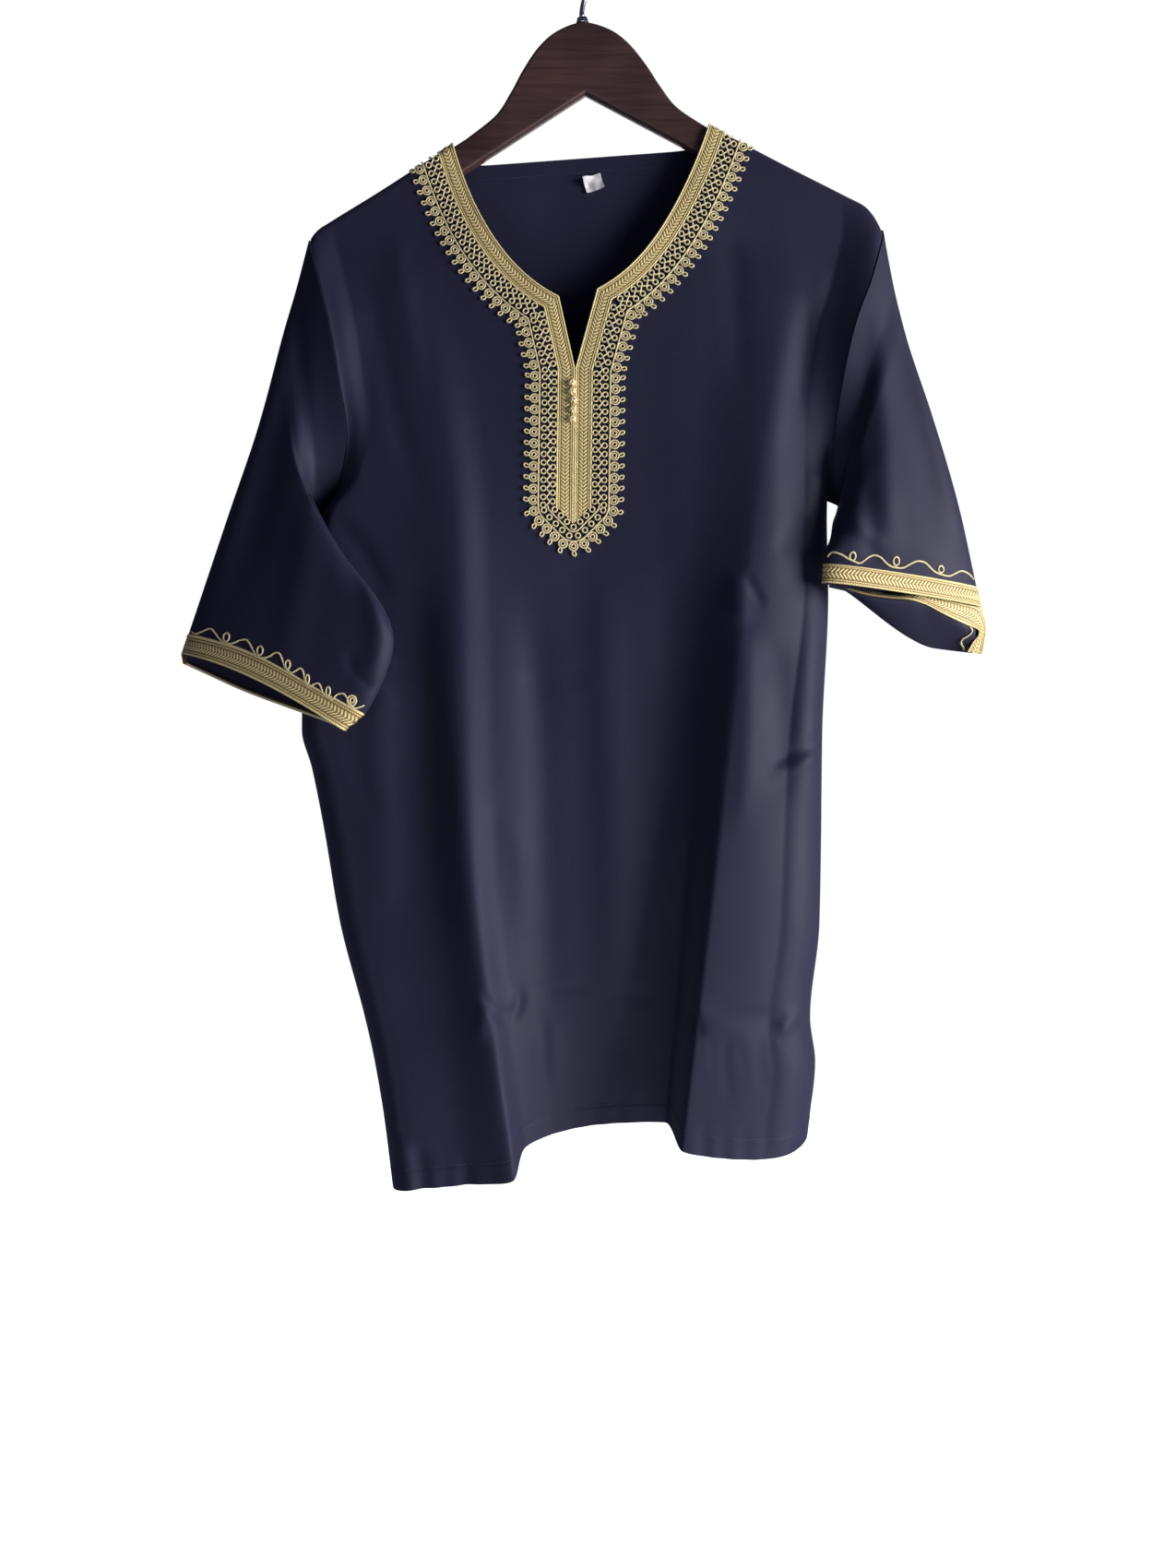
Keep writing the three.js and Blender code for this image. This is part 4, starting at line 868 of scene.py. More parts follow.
def sleeve_rule(name):
    """A sleeve as a rule: along it from armhole to cuff, and round it from its outer edge over the front."""
    sleeve = SLEEVES[name]
    rings, side = sleeve["rings"], sleeve["side"]
    stops = [ring["along"] for ring in rings]

    def hung(share, angle):
        outer, inner = (
            np.stack([curve_at(stops, [ring[key][axis] for ring in rings], share) for axis in range(3)], -1)
            for key in ("outer", "inner"))
        chord = inner - outer
        to_front = np.broadcast_to((0.0, -1.0, 0.0), chord.shape)
        to_front = unit(to_front - chord * (np.sum(to_front * chord, -1) / np.sum(chord**2, -1))[:, None])
        turn = np.sin(angle)
        front_depth = curve_at(stops, [ring["front"] for ring in rings], share)
        back_depth = curve_at(stops, [ring["back"] for ring in rings], share)
        depth = np.where(turn > 0, front_depth, -back_depth * between(0.2, 1, (1 + np.cos(angle)) / 2))
        place = outer + chord * ((1 - np.cos(angle)) / 2)[:, None]
        place = place + to_front * (depth * np.abs(turn) ** SWELL)[:, None]
        hang = np.where(turn > 0, np.exp(-(angle / FRONT_DROOP_ANGLE) ** 2),
                        1 - eased(2 * math.pi - angle, *BACK_DROOP_ANGLES))
        place[:, 2] -= sleeve["droop"] * hang * eased(share, DROOP_FROM, 1)
        place[:, 2] += sleeve["arch"] * np.where(turn > 0, turn**2, 0) * eased(share, 0.7, 1)
        return place

    def rule(share, angle, creased=True):
        share, angle = (part.ravel().astype(float) for part in np.broadcast_arrays(share, angle))
        angle = angle % (2 * math.pi)
        down = ARMHOLE_SHARE * (1 - np.cos(angle)) / 2
        edge = np.zeros_like(share) if side < 0 else np.ones_like(share)
        on_front = (angle <= math.pi)[:, None]
        start = np.where(on_front, front_rule(edge, down, False), back_rule(edge, down, False))
        start = start + (side * SLEEVE_GAP, 0, 0)
        settle = np.maximum(0, 1 - share / SETTLE) ** 2
        place = hung(share, angle) + (start - hung(np.zeros_like(share), angle)) * settle[:, None]
        if creased:
            free = eased(share, 0.02, 0.16) * (1 - 0.6 * eased(share, 0.86, 0.93))
            turn = np.sin(angle)
            front_lift = crease_relief(SLEEVE_CREASES[name], place[:, 0], place[:, 2])
            back_lift = crease_relief(SLEEVE_BACK_CREASES[name], place[:, 0], place[:, 2])
            lift = np.where(turn > 0, -front_lift, back_lift)
            lift = lift - np.sign(turn) * unevenness(place[:, 0], place[:, 2])
            place[:, 1] += lift * free * eased(np.abs(turn), 0.02, 0.5)
        return place

    rule.side = side
    return rule


def make_sleeve(name, rule, paint):
    shares = np.concatenate([np.linspace(0, 0.9, 88)[:-1], np.linspace(0.9, CLOTH_END[name], 14)])
    angles = np.arange(SLEEVE_SIDES) / SLEEVE_SIDES * 2 * math.pi
    outer = rule(shares[:, None], angles[None, :]).reshape(len(shares), len(angles), 3)
    normals = grid_normals(outer, -rule.side, closed=True)
    points = np.concatenate([outer.reshape(-1, 3), (outer - normals * CLOTH).reshape(-1, 3)])
    faces = outward_faces(points, shell_faces(len(shares), len(angles), closed=True))
    round_it = np.minimum(angles, 2 * math.pi - angles) / (2 * math.pi)
    places = np.broadcast_arrays(round_it[None, :] * SLEEVE_CUT[0], shares[:, None] * SLEEVE_CUT[1])
    coords = np.tile(np.stack(places, -1).reshape(-1, 2), (2, 1))
    return new_piece(f"sleeve_{name}_cloth", points, faces, paint, coords=coords)


sleeve_rules = {name: sleeve_rule(name) for name in SLEEVES}
sleeves = {name: make_sleeve(name, rule, cloth) for name, rule in sleeve_rules.items()}
for name, sleeve in sleeves.items():
    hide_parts(f"sleeve_{name}")


# Neck braid: a woven gold band down each side of the neck, the slit and the placket, mitred to a point.
# It has a twisted cord along each edge, a slanted rib inside each cord and a herringbone down the middle.
BRAID_WIDTH = 14.2
TRIM_GAP = 0.45
BRAID_STEP = 0.44
BRAID_ACROSS = np.array([
    0.0, 0.2, 0.55, 0.95, 1.35, 1.7, 1.95, 2.2, 2.6, 3.0, 3.25, 3.5, 3.9, 4.3, 4.7, 5.1, 5.5, 5.9,
    6.3, 6.7, 7.1, 7.5, 7.9, 8.3, 8.7, 9.1, 9.5, 9.9, 10.3, 10.7, 10.95, 11.2, 11.6, 12.0, 12.25,
    12.5, 12.85, 13.25, 13.65, 14.0, 14.2])
# The dark tone is partly painted shade in the hollows of the weave, and the light tone is partly painted
# light on its raised threads.
GOLD = {"dark": (0.20, 0.13, 0.04, 1), "mid": (0.61, 0.455, 0.175, 1), "light": (0.95, 0.79, 0.41, 1)}


def braid_height(across, along):
    """Height of the woven band over its backing, from its width of fourteen millimetres and its run."""
    height = np.full(np.broadcast(across, along).shape, 0.5)
    for centre, slant in ((0.9, 1), (13.3, -1)):
        side = np.clip(1 - ((across - centre) / 0.85) ** 2, 0, 1)
        twist = 0.2 * np.sin(2 * math.pi * (along / 1.9 + slant * (across - centre) / 1.9))
        height = np.where(np.abs(across - centre) < 0.85, 0.3 + 0.75 * np.sqrt(side) + twist * side, height)
    for low, high, slant in ((2.0, 3.25, -1), (10.95, 12.2, 1)):
        inside = (across > low) & (across < high)
        crown = np.sin(math.pi * np.clip((across - low) / (high - low), 0, 1))
        strokes = 0.18 * np.sin(2 * math.pi * (along / 1.9 + slant * across / 1.7))
        height = np.where(inside, 0.55 + 0.35 * crown + strokes * crown, height)
    half = (across - 7.1) / 3.6
    strokes = 0.27 * np.sin(2 * math.pi * (along / 3.0 + np.abs(across - 7.1) / 3.2))
    crown = np.sqrt(np.clip(1 - half**4, 0, 1)) * (0.35 + 0.65 * eased(np.abs(across - 7.1), 0, 0.5))
    return np.where(np.abs(half) < 1, 0.5 + 0.3 * crown + strokes * crown, height)


def find_on(rule, x, z):
    """Where the cloth lies behind each place seen from the front, and its outward normal there."""
    x, z = np.asarray(x, float), np.asarray(z, float)
    places = rule.fold_places(z)
    i = np.clip(np.sum(places < x, axis=0) - 1, 0, len(places) - 2)
    n = np.arange(x.size)
    past_fold = (x - places[i, n]) / (places[i + 1, n] - places[i, n])
    across = between(rule.shares[i], rule.shares[i + 1], past_fold)
    top = shoulder_height(x)
    down = np.clip((top - z) / (top + 975), 0, 1)
    for _ in range(7):
        here, beside, under = (rule(across + aside, down + below, False)[:, ::2]
                               for aside, below in ((0, 0), (1e-4, 0), (0, 1e-4)))
        miss = np.stack([x, z], -1) - here
        by_across, by_down = (beside - here) / 1e-4, (under - here) / 1e-4
        area = by_across[:, 0] * by_down[:, 1] - by_across[:, 1] * by_down[:, 0]
        across = across + (miss[:, 0] * by_down[:, 1] - miss[:, 1] * by_down[:, 0]) / area
        down = np.clip(down + (by_across[:, 0] * miss[:, 1] - by_across[:, 1] * miss[:, 0]) / area, 0, 1)
    run = rule(across + 0.0012, down) - rule(across - 0.0012, down)
    fall = rule(across, np.minimum(down + 0.0012, 1)) - rule(across, np.maximum(down - 0.0012, 0))
    normals = unit(np.cross(run, fall))
    points = rule(across, down)
    normals *= np.sign(np.sum(normals * (0, -1 if rule is front_rule else 1, 0), -1, keepdims=True) + 1e-9)
    return points, normals


def evenly(points, count):
    """Points at even steps along a run of points, and the length of the run."""
    points = np.asarray(points, float)
    travelled = np.concatenate([[0], np.cumsum(np.linalg.norm(np.diff(points, axis=0), axis=1))])
    at = np.linspace(0, travelled[-1], count + 1)
    placed = [np.interp(at, travelled, points[:, axis]) for axis in range(points.shape[1])]
    return np.stack(placed, -1), travelled[-1]


def band_mesh(tops, feet):
    """A closed band from its rows of top points and the row points of its underside's two edges."""
    rows = np.concatenate([feet[:, :1], tops, feet[:, 1:]], 1)
    count, columns = rows.shape[:2]
    return rows.reshape(-1, 3), tube_faces(count, columns)


def with_feet(grid):
    """The figures of a band's rows, with its outer ones repeated for the feet."""
    return np.concatenate([grid[:, :1], grid, grid[:, -1:]], 1)


def lay_band(name, points, normals, run, paint):
    """Woven braid on a grid of points, row by row along it: a closed band with its relief on top."""
    across = np.broadcast_to(BRAID_ACROSS, run.shape)
    height = braid_height(across, run)
    tops = points + normals * (TRIM_GAP + height)[..., None]
    feet = (points + normals * TRIM_GAP)[:, [0, -1]]
    verts, faces = band_mesh(tops, feet)
    coords = np.stack([with_feet(run), with_feet(across)], -1)
    return new_piece(name, verts, outward_faces(verts, faces), paint, sharp=75, coords=coords,
                     relief=with_feet(height))


def gold_thread(name, tones, strand, roughness=0.45, metallic=0.15):
    """Spun metallic thread: strand is the lay of its fibres, as turns a millimetre along and across. Its
    colour carries painted shade and light: darker where the relief attribute sinks, lighter where it stands
    out.
    """
    paint, tree, surface = new_paint(name, Roughness=roughness, Metallic=metallic, Sheen_Weight=0.15,
                                     Sheen_Roughness=0.4, Sheen_Tint=(1, 0.9, 0.7, 1))
    place = add_node(tree, "UVMap", uv_map="cloth").outputs[0]
    along, across = add_node(tree, "SeparateXYZ", {0: place}).outputs[:2]
    wind = add_node(tree, "Math", {0: across, 1: strand[1] * 2 * math.pi}, operation="MULTIPLY").outputs[0]
    phase = add_node(tree, "Math", {0: along, 1: strand[0] * 2 * math.pi, 2: wind}, operation="MULTIPLY_ADD")
    fibres = add_node(tree, "Math", {0: phase.outputs[0]}, operation="SINE").outputs[0]
    uneven = add_node(tree, "TexNoise", {"Vector": place, "Scale": 1.3, "Detail": 3}).outputs["Fac"]
    relief = add_node(tree, "Math", {0: fibres, 1: 0.4, 2: uneven}, operation="MULTIPLY_ADD").outputs[0]
    bump = add_node(tree, "Bump", {"Height": relief, "Strength": 0.5, "Distance": 0.0001})
    # Painted shade and light: the height of the weave darkens the colour in its hollows and lightens it on
    # its raised threads. The noise is real variation from thread to thread.
    proud = add_node(tree, "Attribute", attribute_name="relief").outputs["Fac"]
    painted_shade_by_height = add_node(tree, "MapRange", {"Value": proud, "From Min": 0.5, "From Max": 1.02}).outputs[0]
    shade = add_node(tree, "Math", {0: uneven, 1: 0.35, 2: painted_shade_by_height}, operation="MULTIPLY_ADD").outputs[0]
    tone = blend_tones(tree, shade, tones, 0.22, 1.0)
    tone.color_ramp.elements.new(0.6).color = tones["mid"]
    worn = add_node(tree, "MapRange", {"Value": uneven, "To Min": roughness - 0.1,
                                       "To Max": roughness + 0.12})
    tree.links.new(tone.outputs[0], surface.inputs["Base Color"])
    tree.links.new(bump.outputs[0], surface.inputs["Normal"])
    tree.links.new(worn.outputs[0], surface.inputs["Roughness"])
    return paint


def make_neck_braid(name, paint):
    leg = NECK[name]
    columns, runs, feet = [], [], []
    placket_way = unit(np.array(PLACKET_TIP, float) - np.array(SLIT_FOOT))
    middle = neckline_edge(leg, BRAID_WIDTH / 2, 200)
    curve_length = evenly(middle["curve"], 1)[1]
    slit_length = np.linalg.norm(middle["bend"] - middle["curve"][-1])
    counts = [round(curve_length / BRAID_STEP), round(slit_length / BRAID_STEP), round(122 / BRAID_STEP)]
    for across in np.maximum(BRAID_ACROSS, SEAM_GAP / 2):
        edge = neckline_edge(leg, across, 200)
        end = edge["foot"] + (0, across)
        curve = evenly(edge["curve"], counts[0])[0]
        slit = between(curve[-1], edge["bend"], np.linspace(0, 1, counts[1] + 1)[1:, None])
        placket = between(edge["bend"], end, np.linspace(0, 1, counts[2] + 1)[1:, None])
        columns.append(np.concatenate([curve, slit, placket]))
        even = np.concatenate([np.linspace(0, curve_length, counts[0] + 1),
                               curve_length + np.linspace(0, slit_length, counts[1] + 1)[1:]])
        runs.append(np.concatenate([even, even[-1] + (placket - edge["bend"]) @ placket_way]))
    flat, run = np.stack(columns, 1), np.stack(runs, 1)
    points, normals = find_on(front_rule, flat[..., 0].ravel(), flat[..., 1].ravel())
    shape = (*flat.shape[:2], 3)
    points, normals = points.reshape(shape), normals.reshape(shape)
    piece = lay_band(f"braid_{name}", points, normals, run, paint)
    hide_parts(f"neck_braid_{name}")
    return piece


braid_gold = gold_thread("woven gold braid", GOLD, (1.6, 1.1))
braids = [make_neck_braid(name, braid_gold) for name in NECK]


# Lace: an edging of fine gold cord couched on the front outside the braid. Small rings sit in two columns
# with a wavy cord between them, then come a straight cord and big double rings that each carry a small loop.
LACE_CORD = 1.35
SMALL_RING = {"radius": 2.0, "pitch": 6.8, "columns": (2.4, 9.84)}
WAVY_CORD = {"middle": 6.1, "swing": 1.1}
STRAIGHT_CORD = 13.8
BIG_RING = {"at": 17.7, "pitch": 8.93, "outer": 3.4, "inner": 1.7}
PICOT = {"at": 23.2, "width": 3.4, "height": 4.2, "shift": 0.9}
LACE_TONES = {"dark": (0.30, 0.22, 0.09, 1), "mid": (0.62, 0.50, 0.25, 1), "light": (0.90, 0.78, 0.48, 1)}


def lace_leg(name, out):
    """The line at a distance outside the braid, from its foot corner up to the shoulder."""
    leg = NECK[name]
    edge = neckline_edge(leg, BRAID_WIDTH + out, 160)
    corner = np.array([edge["foot"][0], PLACKET_TIP[1] + BRAID_WIDTH])
    return np.vstack([corner, edge["bend"], edge["curve"][::-1]])


def lace_tip(out):
    """The line at a distance outside the braid's mitred point, from the left foot corner to the right."""
    tip = np.array(PLACKET_TIP, float)
    corners = [tip + (-BRAID_WIDTH, BRAID_WIDTH), tip, tip + (BRAID_WIDTH, BRAID_WIDTH)]
    turns = [np.radians(np.linspace(low, high, 30)) for low, high in ((180, 225), (225, 315), (315, 360))]
    arcs = [corner + out * np.stack([np.cos(turn), np.sin(turn)], -1) for corner, turn in zip(corners, turns)]
    return np.vstack(arcs)


def spots_along(line, count, offset=0.5):
    """Places, directions and outward ways at even steps along a line, the first a part of a step in."""
    points, _ = evenly(line, 1500)
    index = np.clip(np.round((np.arange(count) + offset) / count * 1500).astype(int), 3, 1497)
    forward = unit(points[index + 3] - points[index - 3])
    return points[index], forward, np.stack([forward[:, 1], -forward[:, 0]], -1)


def ring_line(centre, forward, outward, long, wide, steps=18):
    turn = np.arange(steps) / steps * 2 * math.pi
    return centre + forward * (wide * np.sin(turn))[:, None] + outward * (long * np.cos(turn))[:, None]


def picot_line(centre, forward, outward):
    """A small loop whose feet cross at the big ring and whose head leans a little along the edge."""
    turn = np.arange(16) / 16 * 2 * math.pi
    lean = PICOT["shift"] * (0.5 + 0.5 * np.cos(turn))
    pinch = 0.45 + 0.55 * (0.5 + 0.5 * np.cos(turn)) ** 0.6
    return (centre + forward * (PICOT["width"] / 2 * np.sin(turn) * pinch + lean)[:, None]
            + outward * (PICOT["height"] / 2 * np.cos(turn))[:, None])


def big_rings(at, forward, outward):
    made = []
    for point, way, out in zip(at, forward, outward):
        made.append(ring_line(point, way, out, BIG_RING["outer"], BIG_RING["outer"]))
        made.append(ring_line(point, way, out, BIG_RING["inner"], BIG_RING["inner"], 12))
        made.append(picot_line(point + out * (PICOT["at"] - BIG_RING["at"]), way, out))
    return made


def lace_lines():
    """Every cord of the lace as flat lines: closed rings, and open cords."""
    rings, cords, places = [], [], []
    for name, side in (("left", -1), ("right", 1)):
        spine_line = lace_leg(name, WAVY_CORD["middle"])
        length = evenly(spine_line, 1)[1]
        count = round(length / SMALL_RING["pitch"])
        for column, offset in zip(SMALL_RING["columns"], (0.5, 0.0)):
            at, forward, outward = spots_along(spine_line, count, offset + 0.02)
            outward = outward * side
            places += [(point + out * (column - WAVY_CORD["middle"]), way, out)
                       for point, way, out in zip(at, forward, outward)]
        outer_line = lace_leg(name, BIG_RING["at"])
        at, forward, outward = spots_along(outer_line, round(evenly(outer_line, 1)[1] / BIG_RING["pitch"]))
        rings += big_rings(at, forward, outward * side)
        even, _ = evenly(spine_line, count * 12)
        phase = np.arange(count * 12 + 1) / 12 * 2 * math.pi
        forward = unit(np.gradient(even, axis=0))
        outward = np.stack([forward[:, 1], -forward[:, 0]], -1) * side
        cords.append(even - outward * (WAVY_CORD["swing"] * -np.cos(phase))[:, None])
        cords.append(evenly(lace_leg(name, STRAIGHT_CORD), 150)[0])
    for column, count in zip(SMALL_RING["columns"], (7, 10)):
        at, forward, outward = spots_along(lace_tip(column), count)
        places += list(zip(at, forward, outward))
    radius = SMALL_RING["radius"]
    rings += [ring_line(point, way, out, radius, radius) for point, way, out in places]
    at, forward, outward = spots_along(lace_tip(BIG_RING["at"]), 11)
    rings += big_rings(at, forward, outward)
    cords += [evenly(lace_tip(WAVY_CORD["middle"]), 60)[0], evenly(lace_tip(STRAIGHT_CORD), 60)[0]]
    return rings, cords


def laid(lines, lift):
    """Flat lines laid on the front's cloth, each as points and normals."""
    joined = np.concatenate(lines)
    points, normals = find_on(front_rule, joined[:, 0], joined[:, 1])
    cuts = np.cumsum([len(line) for line in lines])[:-1]
    return list(zip(np.split(points + normals * lift, cuts), np.split(normals, cuts)))


def joined_cords(name, groups, paint):
    """One piece from several groups of cord meshes."""
    points, faces, coords, first = [], [], [], 0
    for group_points, group_faces, group_coords in groups:
        points.append(group_points)
        coords.append(group_coords)
        faces += [[corner + first for corner in face] for face in group_faces]
        first += len(group_points)
    points = np.concatenate(points)
    return new_piece(name, points, faces, paint, sharp=80, coords=np.concatenate(coords),
                     relief=np.full(len(points), 0.83))


def make_lace(paint):
    rings, cords = lace_lines()
    above = TRIM_GAP + LACE_CORD / 2 - 0.1
    groups = [cord_mesh(laid(rings, above), LACE_CORD / 2, sides=6, closed=True),
              cord_mesh(laid(cords, above + 0.15), LACE_CORD / 2, sides=6)]
    lace = joined_cords("lace", groups, paint)
    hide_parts("neck_lace")
    return lace


lace_gold = gold_thread("gold lace cord", LACE_TONES, (0.9, 2), roughness=0.5, metallic=0.1)
lace = make_lace(lace_gold)


# Knots: five small buttons of the same gold cord, each worked round itself into a ball.
# They are sewn one under another down the closed placket, a little to the left of its middle.
KNOT_PLACES = [(-5.2, -365.7), (-5.2, -372.6), (-4, -379.6), (-4.5, -387.2), (-4.9, -394.6)]
KNOT_RADIUS = 3.3
KNOT_CORD = 1.7
KNOT_TURNS = {"round": 3, "waves": 5, "tilt": 1.15}
KNOT_TWIST = 0.7
CORE_SIDES = 12


def make_knots(paint):
    turn = np.arange(170) / 170 * 2 * math.pi
    reach = KNOT_RADIUS - KNOT_CORD / 2
    tilt, spin = KNOT_TURNS["tilt"] * np.cos(KNOT_TURNS["waves"] * turn), KNOT_TURNS["round"] * turn
    radius = reach * (1 + 0.06 * np.sin(2 * KNOT_TURNS["waves"] * turn))
    flat = radius * np.cos(tilt)
    ball = np.stack([flat * np.cos(spin), radius * np.sin(tilt), flat * np.sin(spin)], -1)
    rings = np.linspace(0, math.pi, 9)[1:-1]
    sides = np.arange(CORE_SIDES) / (CORE_SIDES / 2) * math.pi
    core = np.stack([np.outer(np.sin(rings), np.cos(sides)).ravel(), np.repeat(np.cos(rings), CORE_SIDES),
                     np.outer(np.sin(rings), np.sin(sides)).ravel()], -1)
    for i, (x, z) in enumerate(KNOT_PLACES):
        points, normals = find_on(front_rule, np.array([x]), np.array([z]))
        centre = points[0] + normals[0] * (TRIM_GAP + 1.7)
        angle = KNOT_TWIST * i
        turned = ball.copy()
        turned[:, 0] = ball[:, 0] * math.cos(angle) - ball[:, 2] * math.sin(angle)
        turned[:, 2] = ball[:, 0] * math.sin(angle) + ball[:, 2] * math.cos(angle)
        cord = cord_mesh([(turned + centre, unit(turned))], KNOT_CORD / 2, sides=7, closed=True)
        inside = core * (reach - 0.3) + centre
        faces = outward_faces(inside, tube_faces(len(rings), CORE_SIDES))
        group = (inside, faces, np.zeros((len(inside), 2)))
        knot = joined_cords(f"knot_ball_{i + 1}", [cord, group], paint)
        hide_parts(f"knot_{i + 1}")


make_knots(lace_gold)


# Cuff braid: the same woven band round the end of each sleeve, its two ends cut and butted at the underarm.
# Its lower edge stands a little past the cloth, so a line of gold shows along the back of the cuff too.
CUFFS = {
    "left": {"from": 0.918, "underarm_from": 0.94, "round": (-3.12, 3.12)},
    "right": {"from": 0.92, "underarm_from": 0.92, "round": (0.14, 3.5)},
}
CUT_END = {"tooth": 3.5, "depth": 0.035}


def sleeve_normals(rule, share, angle):
    along = rule(np.minimum(share + 0.004, 1), angle) - rule(share - 0.004, angle)
    round_it = rule(share, angle + 0.01) - rule(share, angle - 0.01)
    return unit(np.cross(along, round_it)) * -rule.side


def make_cuff_braid(name, paint):
    rule, cuff = sleeve_rules[name], CUFFS[name]
    low, high = cuff["round"]
    angles = np.linspace(low, high, 760)[:, None]
    teeth = CUT_END["depth"] * np.abs(BRAID_ACROSS / CUT_END["tooth"] % 2 - 1)
    angle = angles - teeth * eased(angles, high - 0.1, high)
    start = between(cuff["from"], cuff["underarm_from"], eased(np.abs(angle), 1.2, 2.3))
    share = between(start, 1, BRAID_ACROSS / BRAID_WIDTH)
    points = rule(share, angle).reshape(*share.shape, 3)
    normals = sleeve_normals(rule, share.ravel(), angle.ravel()).reshape(points.shape)
    steps = np.linalg.norm(np.diff(points[:, len(BRAID_ACROSS) // 2], axis=0), axis=1)
    run = np.broadcast_to(np.concatenate([[0], np.cumsum(steps)])[:, None], share.shape)
    piece = lay_band(f"cuff_band_{name}", points, normals, run, paint)
    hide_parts(f"cuff_braid_{name}")
    return piece


cuff_braids = {name: make_cuff_braid(name, braid_gold) for name in SLEEVES}


# Turned cuff: the back of the right sleeve hangs low, folds under and comes up again inside the opening.
# Its navy outer face shows there, with its own length of braid tucked behind the front and down the corner.
TURNED_CUFF = [
    {"angle": 3.55, "band": (196.1, -38, -528.9), "edge": (196.8, -34, -527.3)},
    {"angle": 3.95, "band": (209.3, -37, -531.7), "edge": (212.1, -25, -528.7)},
    {"angle": 4.25, "band": (226.1, -36, -535.9), "edge": (229.3, -23, -531.7)},
    {"angle": 4.6, "band": (244.3, -35, -538.3), "edge": (247.7, -22, -533.4)},
    {"angle": 4.9, "band": (259.7, -34, -539.3), "edge": (262.6, -24, -531.5)},
    {"angle": 5.1, "band": (272.7, -31, -542.5), "edge": (273.4, -28, -530.5)},
    {"angle": 5.35, "band": (288.9, -27, -550.0), "edge": (288.6, -25.5, -536.0)},
    {"angle": 5.65, "band": (305.8, -21, -556.7), "edge": (304.8, -19, -538.5)},
    {"angle": 5.95, "band": (317.4, -13, -559.5), "edge": (320.5, -10.5, -540.5)},
]
TURNED_CORNER = [
    {"band": (319.0, -12, -563.6), "edge": (325.8, -7.5, -552.5)},
    {"band": (315.2, -11.5, -568.9), "edge": (325.6, -7, -567.8)},
    {"band": (310.4, -11, -577.4), "edge": (323.9, -6.5, -579)},
]
TURN_START = (0, -0.9, -0.25)
TURN_BEND = (0, -3.2, 0.6)


def make_turned_cuff(paint):
    angles = spline_through([[stop["angle"]] for stop in TURNED_CUFF], 90)[:, 0]
    low = sleeve_rules["right"](np.full(len(angles), CLOTH_END["right"]), angles)
    band, edge = (spline_through([stop[key] for stop in TURNED_CUFF], 90) for key in ("band", "edge"))
    bend = low + TURN_BEND
    middle = between(bend, band, 0.5) + (0, -2, 0)
    stops = np.stack([low + TURN_START, bend, middle, band, edge])
    grid = np.stack([spline_through(stops[:, i], 30) for i in range(len(angles))], 1)
    normals = grid_normals(grid, 1)
    normals *= -np.sign(normals[..., 1].mean())
    points = np.concatenate([grid.reshape(-1, 3), (grid - normals * CLOTH).reshape(-1, 3)])
    faces = outward_faces(points, shell_faces(*grid.shape[:2]))
    coords = np.tile(grid[..., ::2].reshape(-1, 2), (2, 1))
    return new_piece("cuff_turn", points, faces, paint, coords=coords), grid, normals


def make_turned_band(paint):
    stops = TURNED_CUFF + TURNED_CORNER
    band, edge = (evenly(spline_through([stop[key] for stop in stops], 400), 400)[0]
                  for key in ("band", "edge"))
    share = BRAID_ACROSS[None, :, None] / BRAID_WIDTH
    points = between(edge[:, None], band[:, None], share)
    normals = grid_normals(points, 1)
    normals *= -np.sign(normals[..., 1].mean())
    steps = np.linalg.norm(np.diff(between(edge, band, 0.5), axis=0), axis=1)
    run = np.broadcast_to(np.concatenate([[0], np.cumsum(steps)])[:, None], points.shape[:2])
    return lay_band("cuff_turn_band", points, normals, run, paint)


turned_cuff, turned_grid, turned_normals = make_turned_cuff(cloth)
turned_band = make_turned_band(braid_gold)


# Cuff cord: one gold cord couched above each cuff's braid in waves, with a small ring set in every hollow.
# A last bit of it shows on the turned cuff, and a thicker one binds the back edge of the left cuff.
CUFF_CORD = 1.5
BACK_EDGE_CORD = 2.6
COUCHED_AT = 0.2
CUFF_WAVES = {
    "left": [
        (-307.9, -562.1), (-303.9, -564.1), (-298.2, -562.8), (-291.0, -560.7), (-286.9, -563.6),
        (-282.7, -568.5), (-278.5, -572.0), (-272.6, -573.7), (-268.1, -572.7), (-264.4, -571.2),
        (-259.1, -570.8), (-255.9, -573.8), (-252.7, -579.1), (-249.5, -583.6), (-243.9, -585.7),
        (-238.9, -584.7), (-234.0, -582.0), (-230.4, -582.7), (-227.9, -587.3), (-226.1, -592.5),
        (-223.7, -595.4), (-220.1, -597.7), (-216.5, -596.1), (-213.5, -594.5), (-211.1, -596.7),
        (-209.8, -601.9), (-208.6, -606.4), (-205.6, -608.7), (-202.1, -607.0), (-198.6, -606.4),
        (-196.2, -610.0), (-194.5, -614.6), (-190.9, -616.8), (-187.4, -618.5), (-184.0, -615.2),
        (-179.4, -614.4), (-176.6, -616.9), (-174.3, -621.4), (-170.9, -625.0), (-166.9, -624.6),
        (-163.5, -622.9),
    ],
    "right": [
        (194.2, -507.0), (195.6, -504.6), (197.9, -503.8), (203.3, -505.7), (208.7, -508.9),
        (214.1, -511.3), (217.7, -512.2), (221.3, -510.0), (224.9, -507.3), (229.5, -505.9),
        (234.2, -507.6), (238.0, -511.2), (241.8, -513.8), (246.6, -514.9), (252.3, -514.9),
        (257.1, -512.4), (262.0, -510.0), (265.9, -509.3), (270.8, -510.5), (274.9, -513.9),
        (278.9, -516.9), (283.8, -518.6), (291.0, -519.6), (296.3, -517.4), (301.7, -514.9),
        (307.0, -515.6), (311.4, -518.0), (314.1, -520.1),
    ],
}
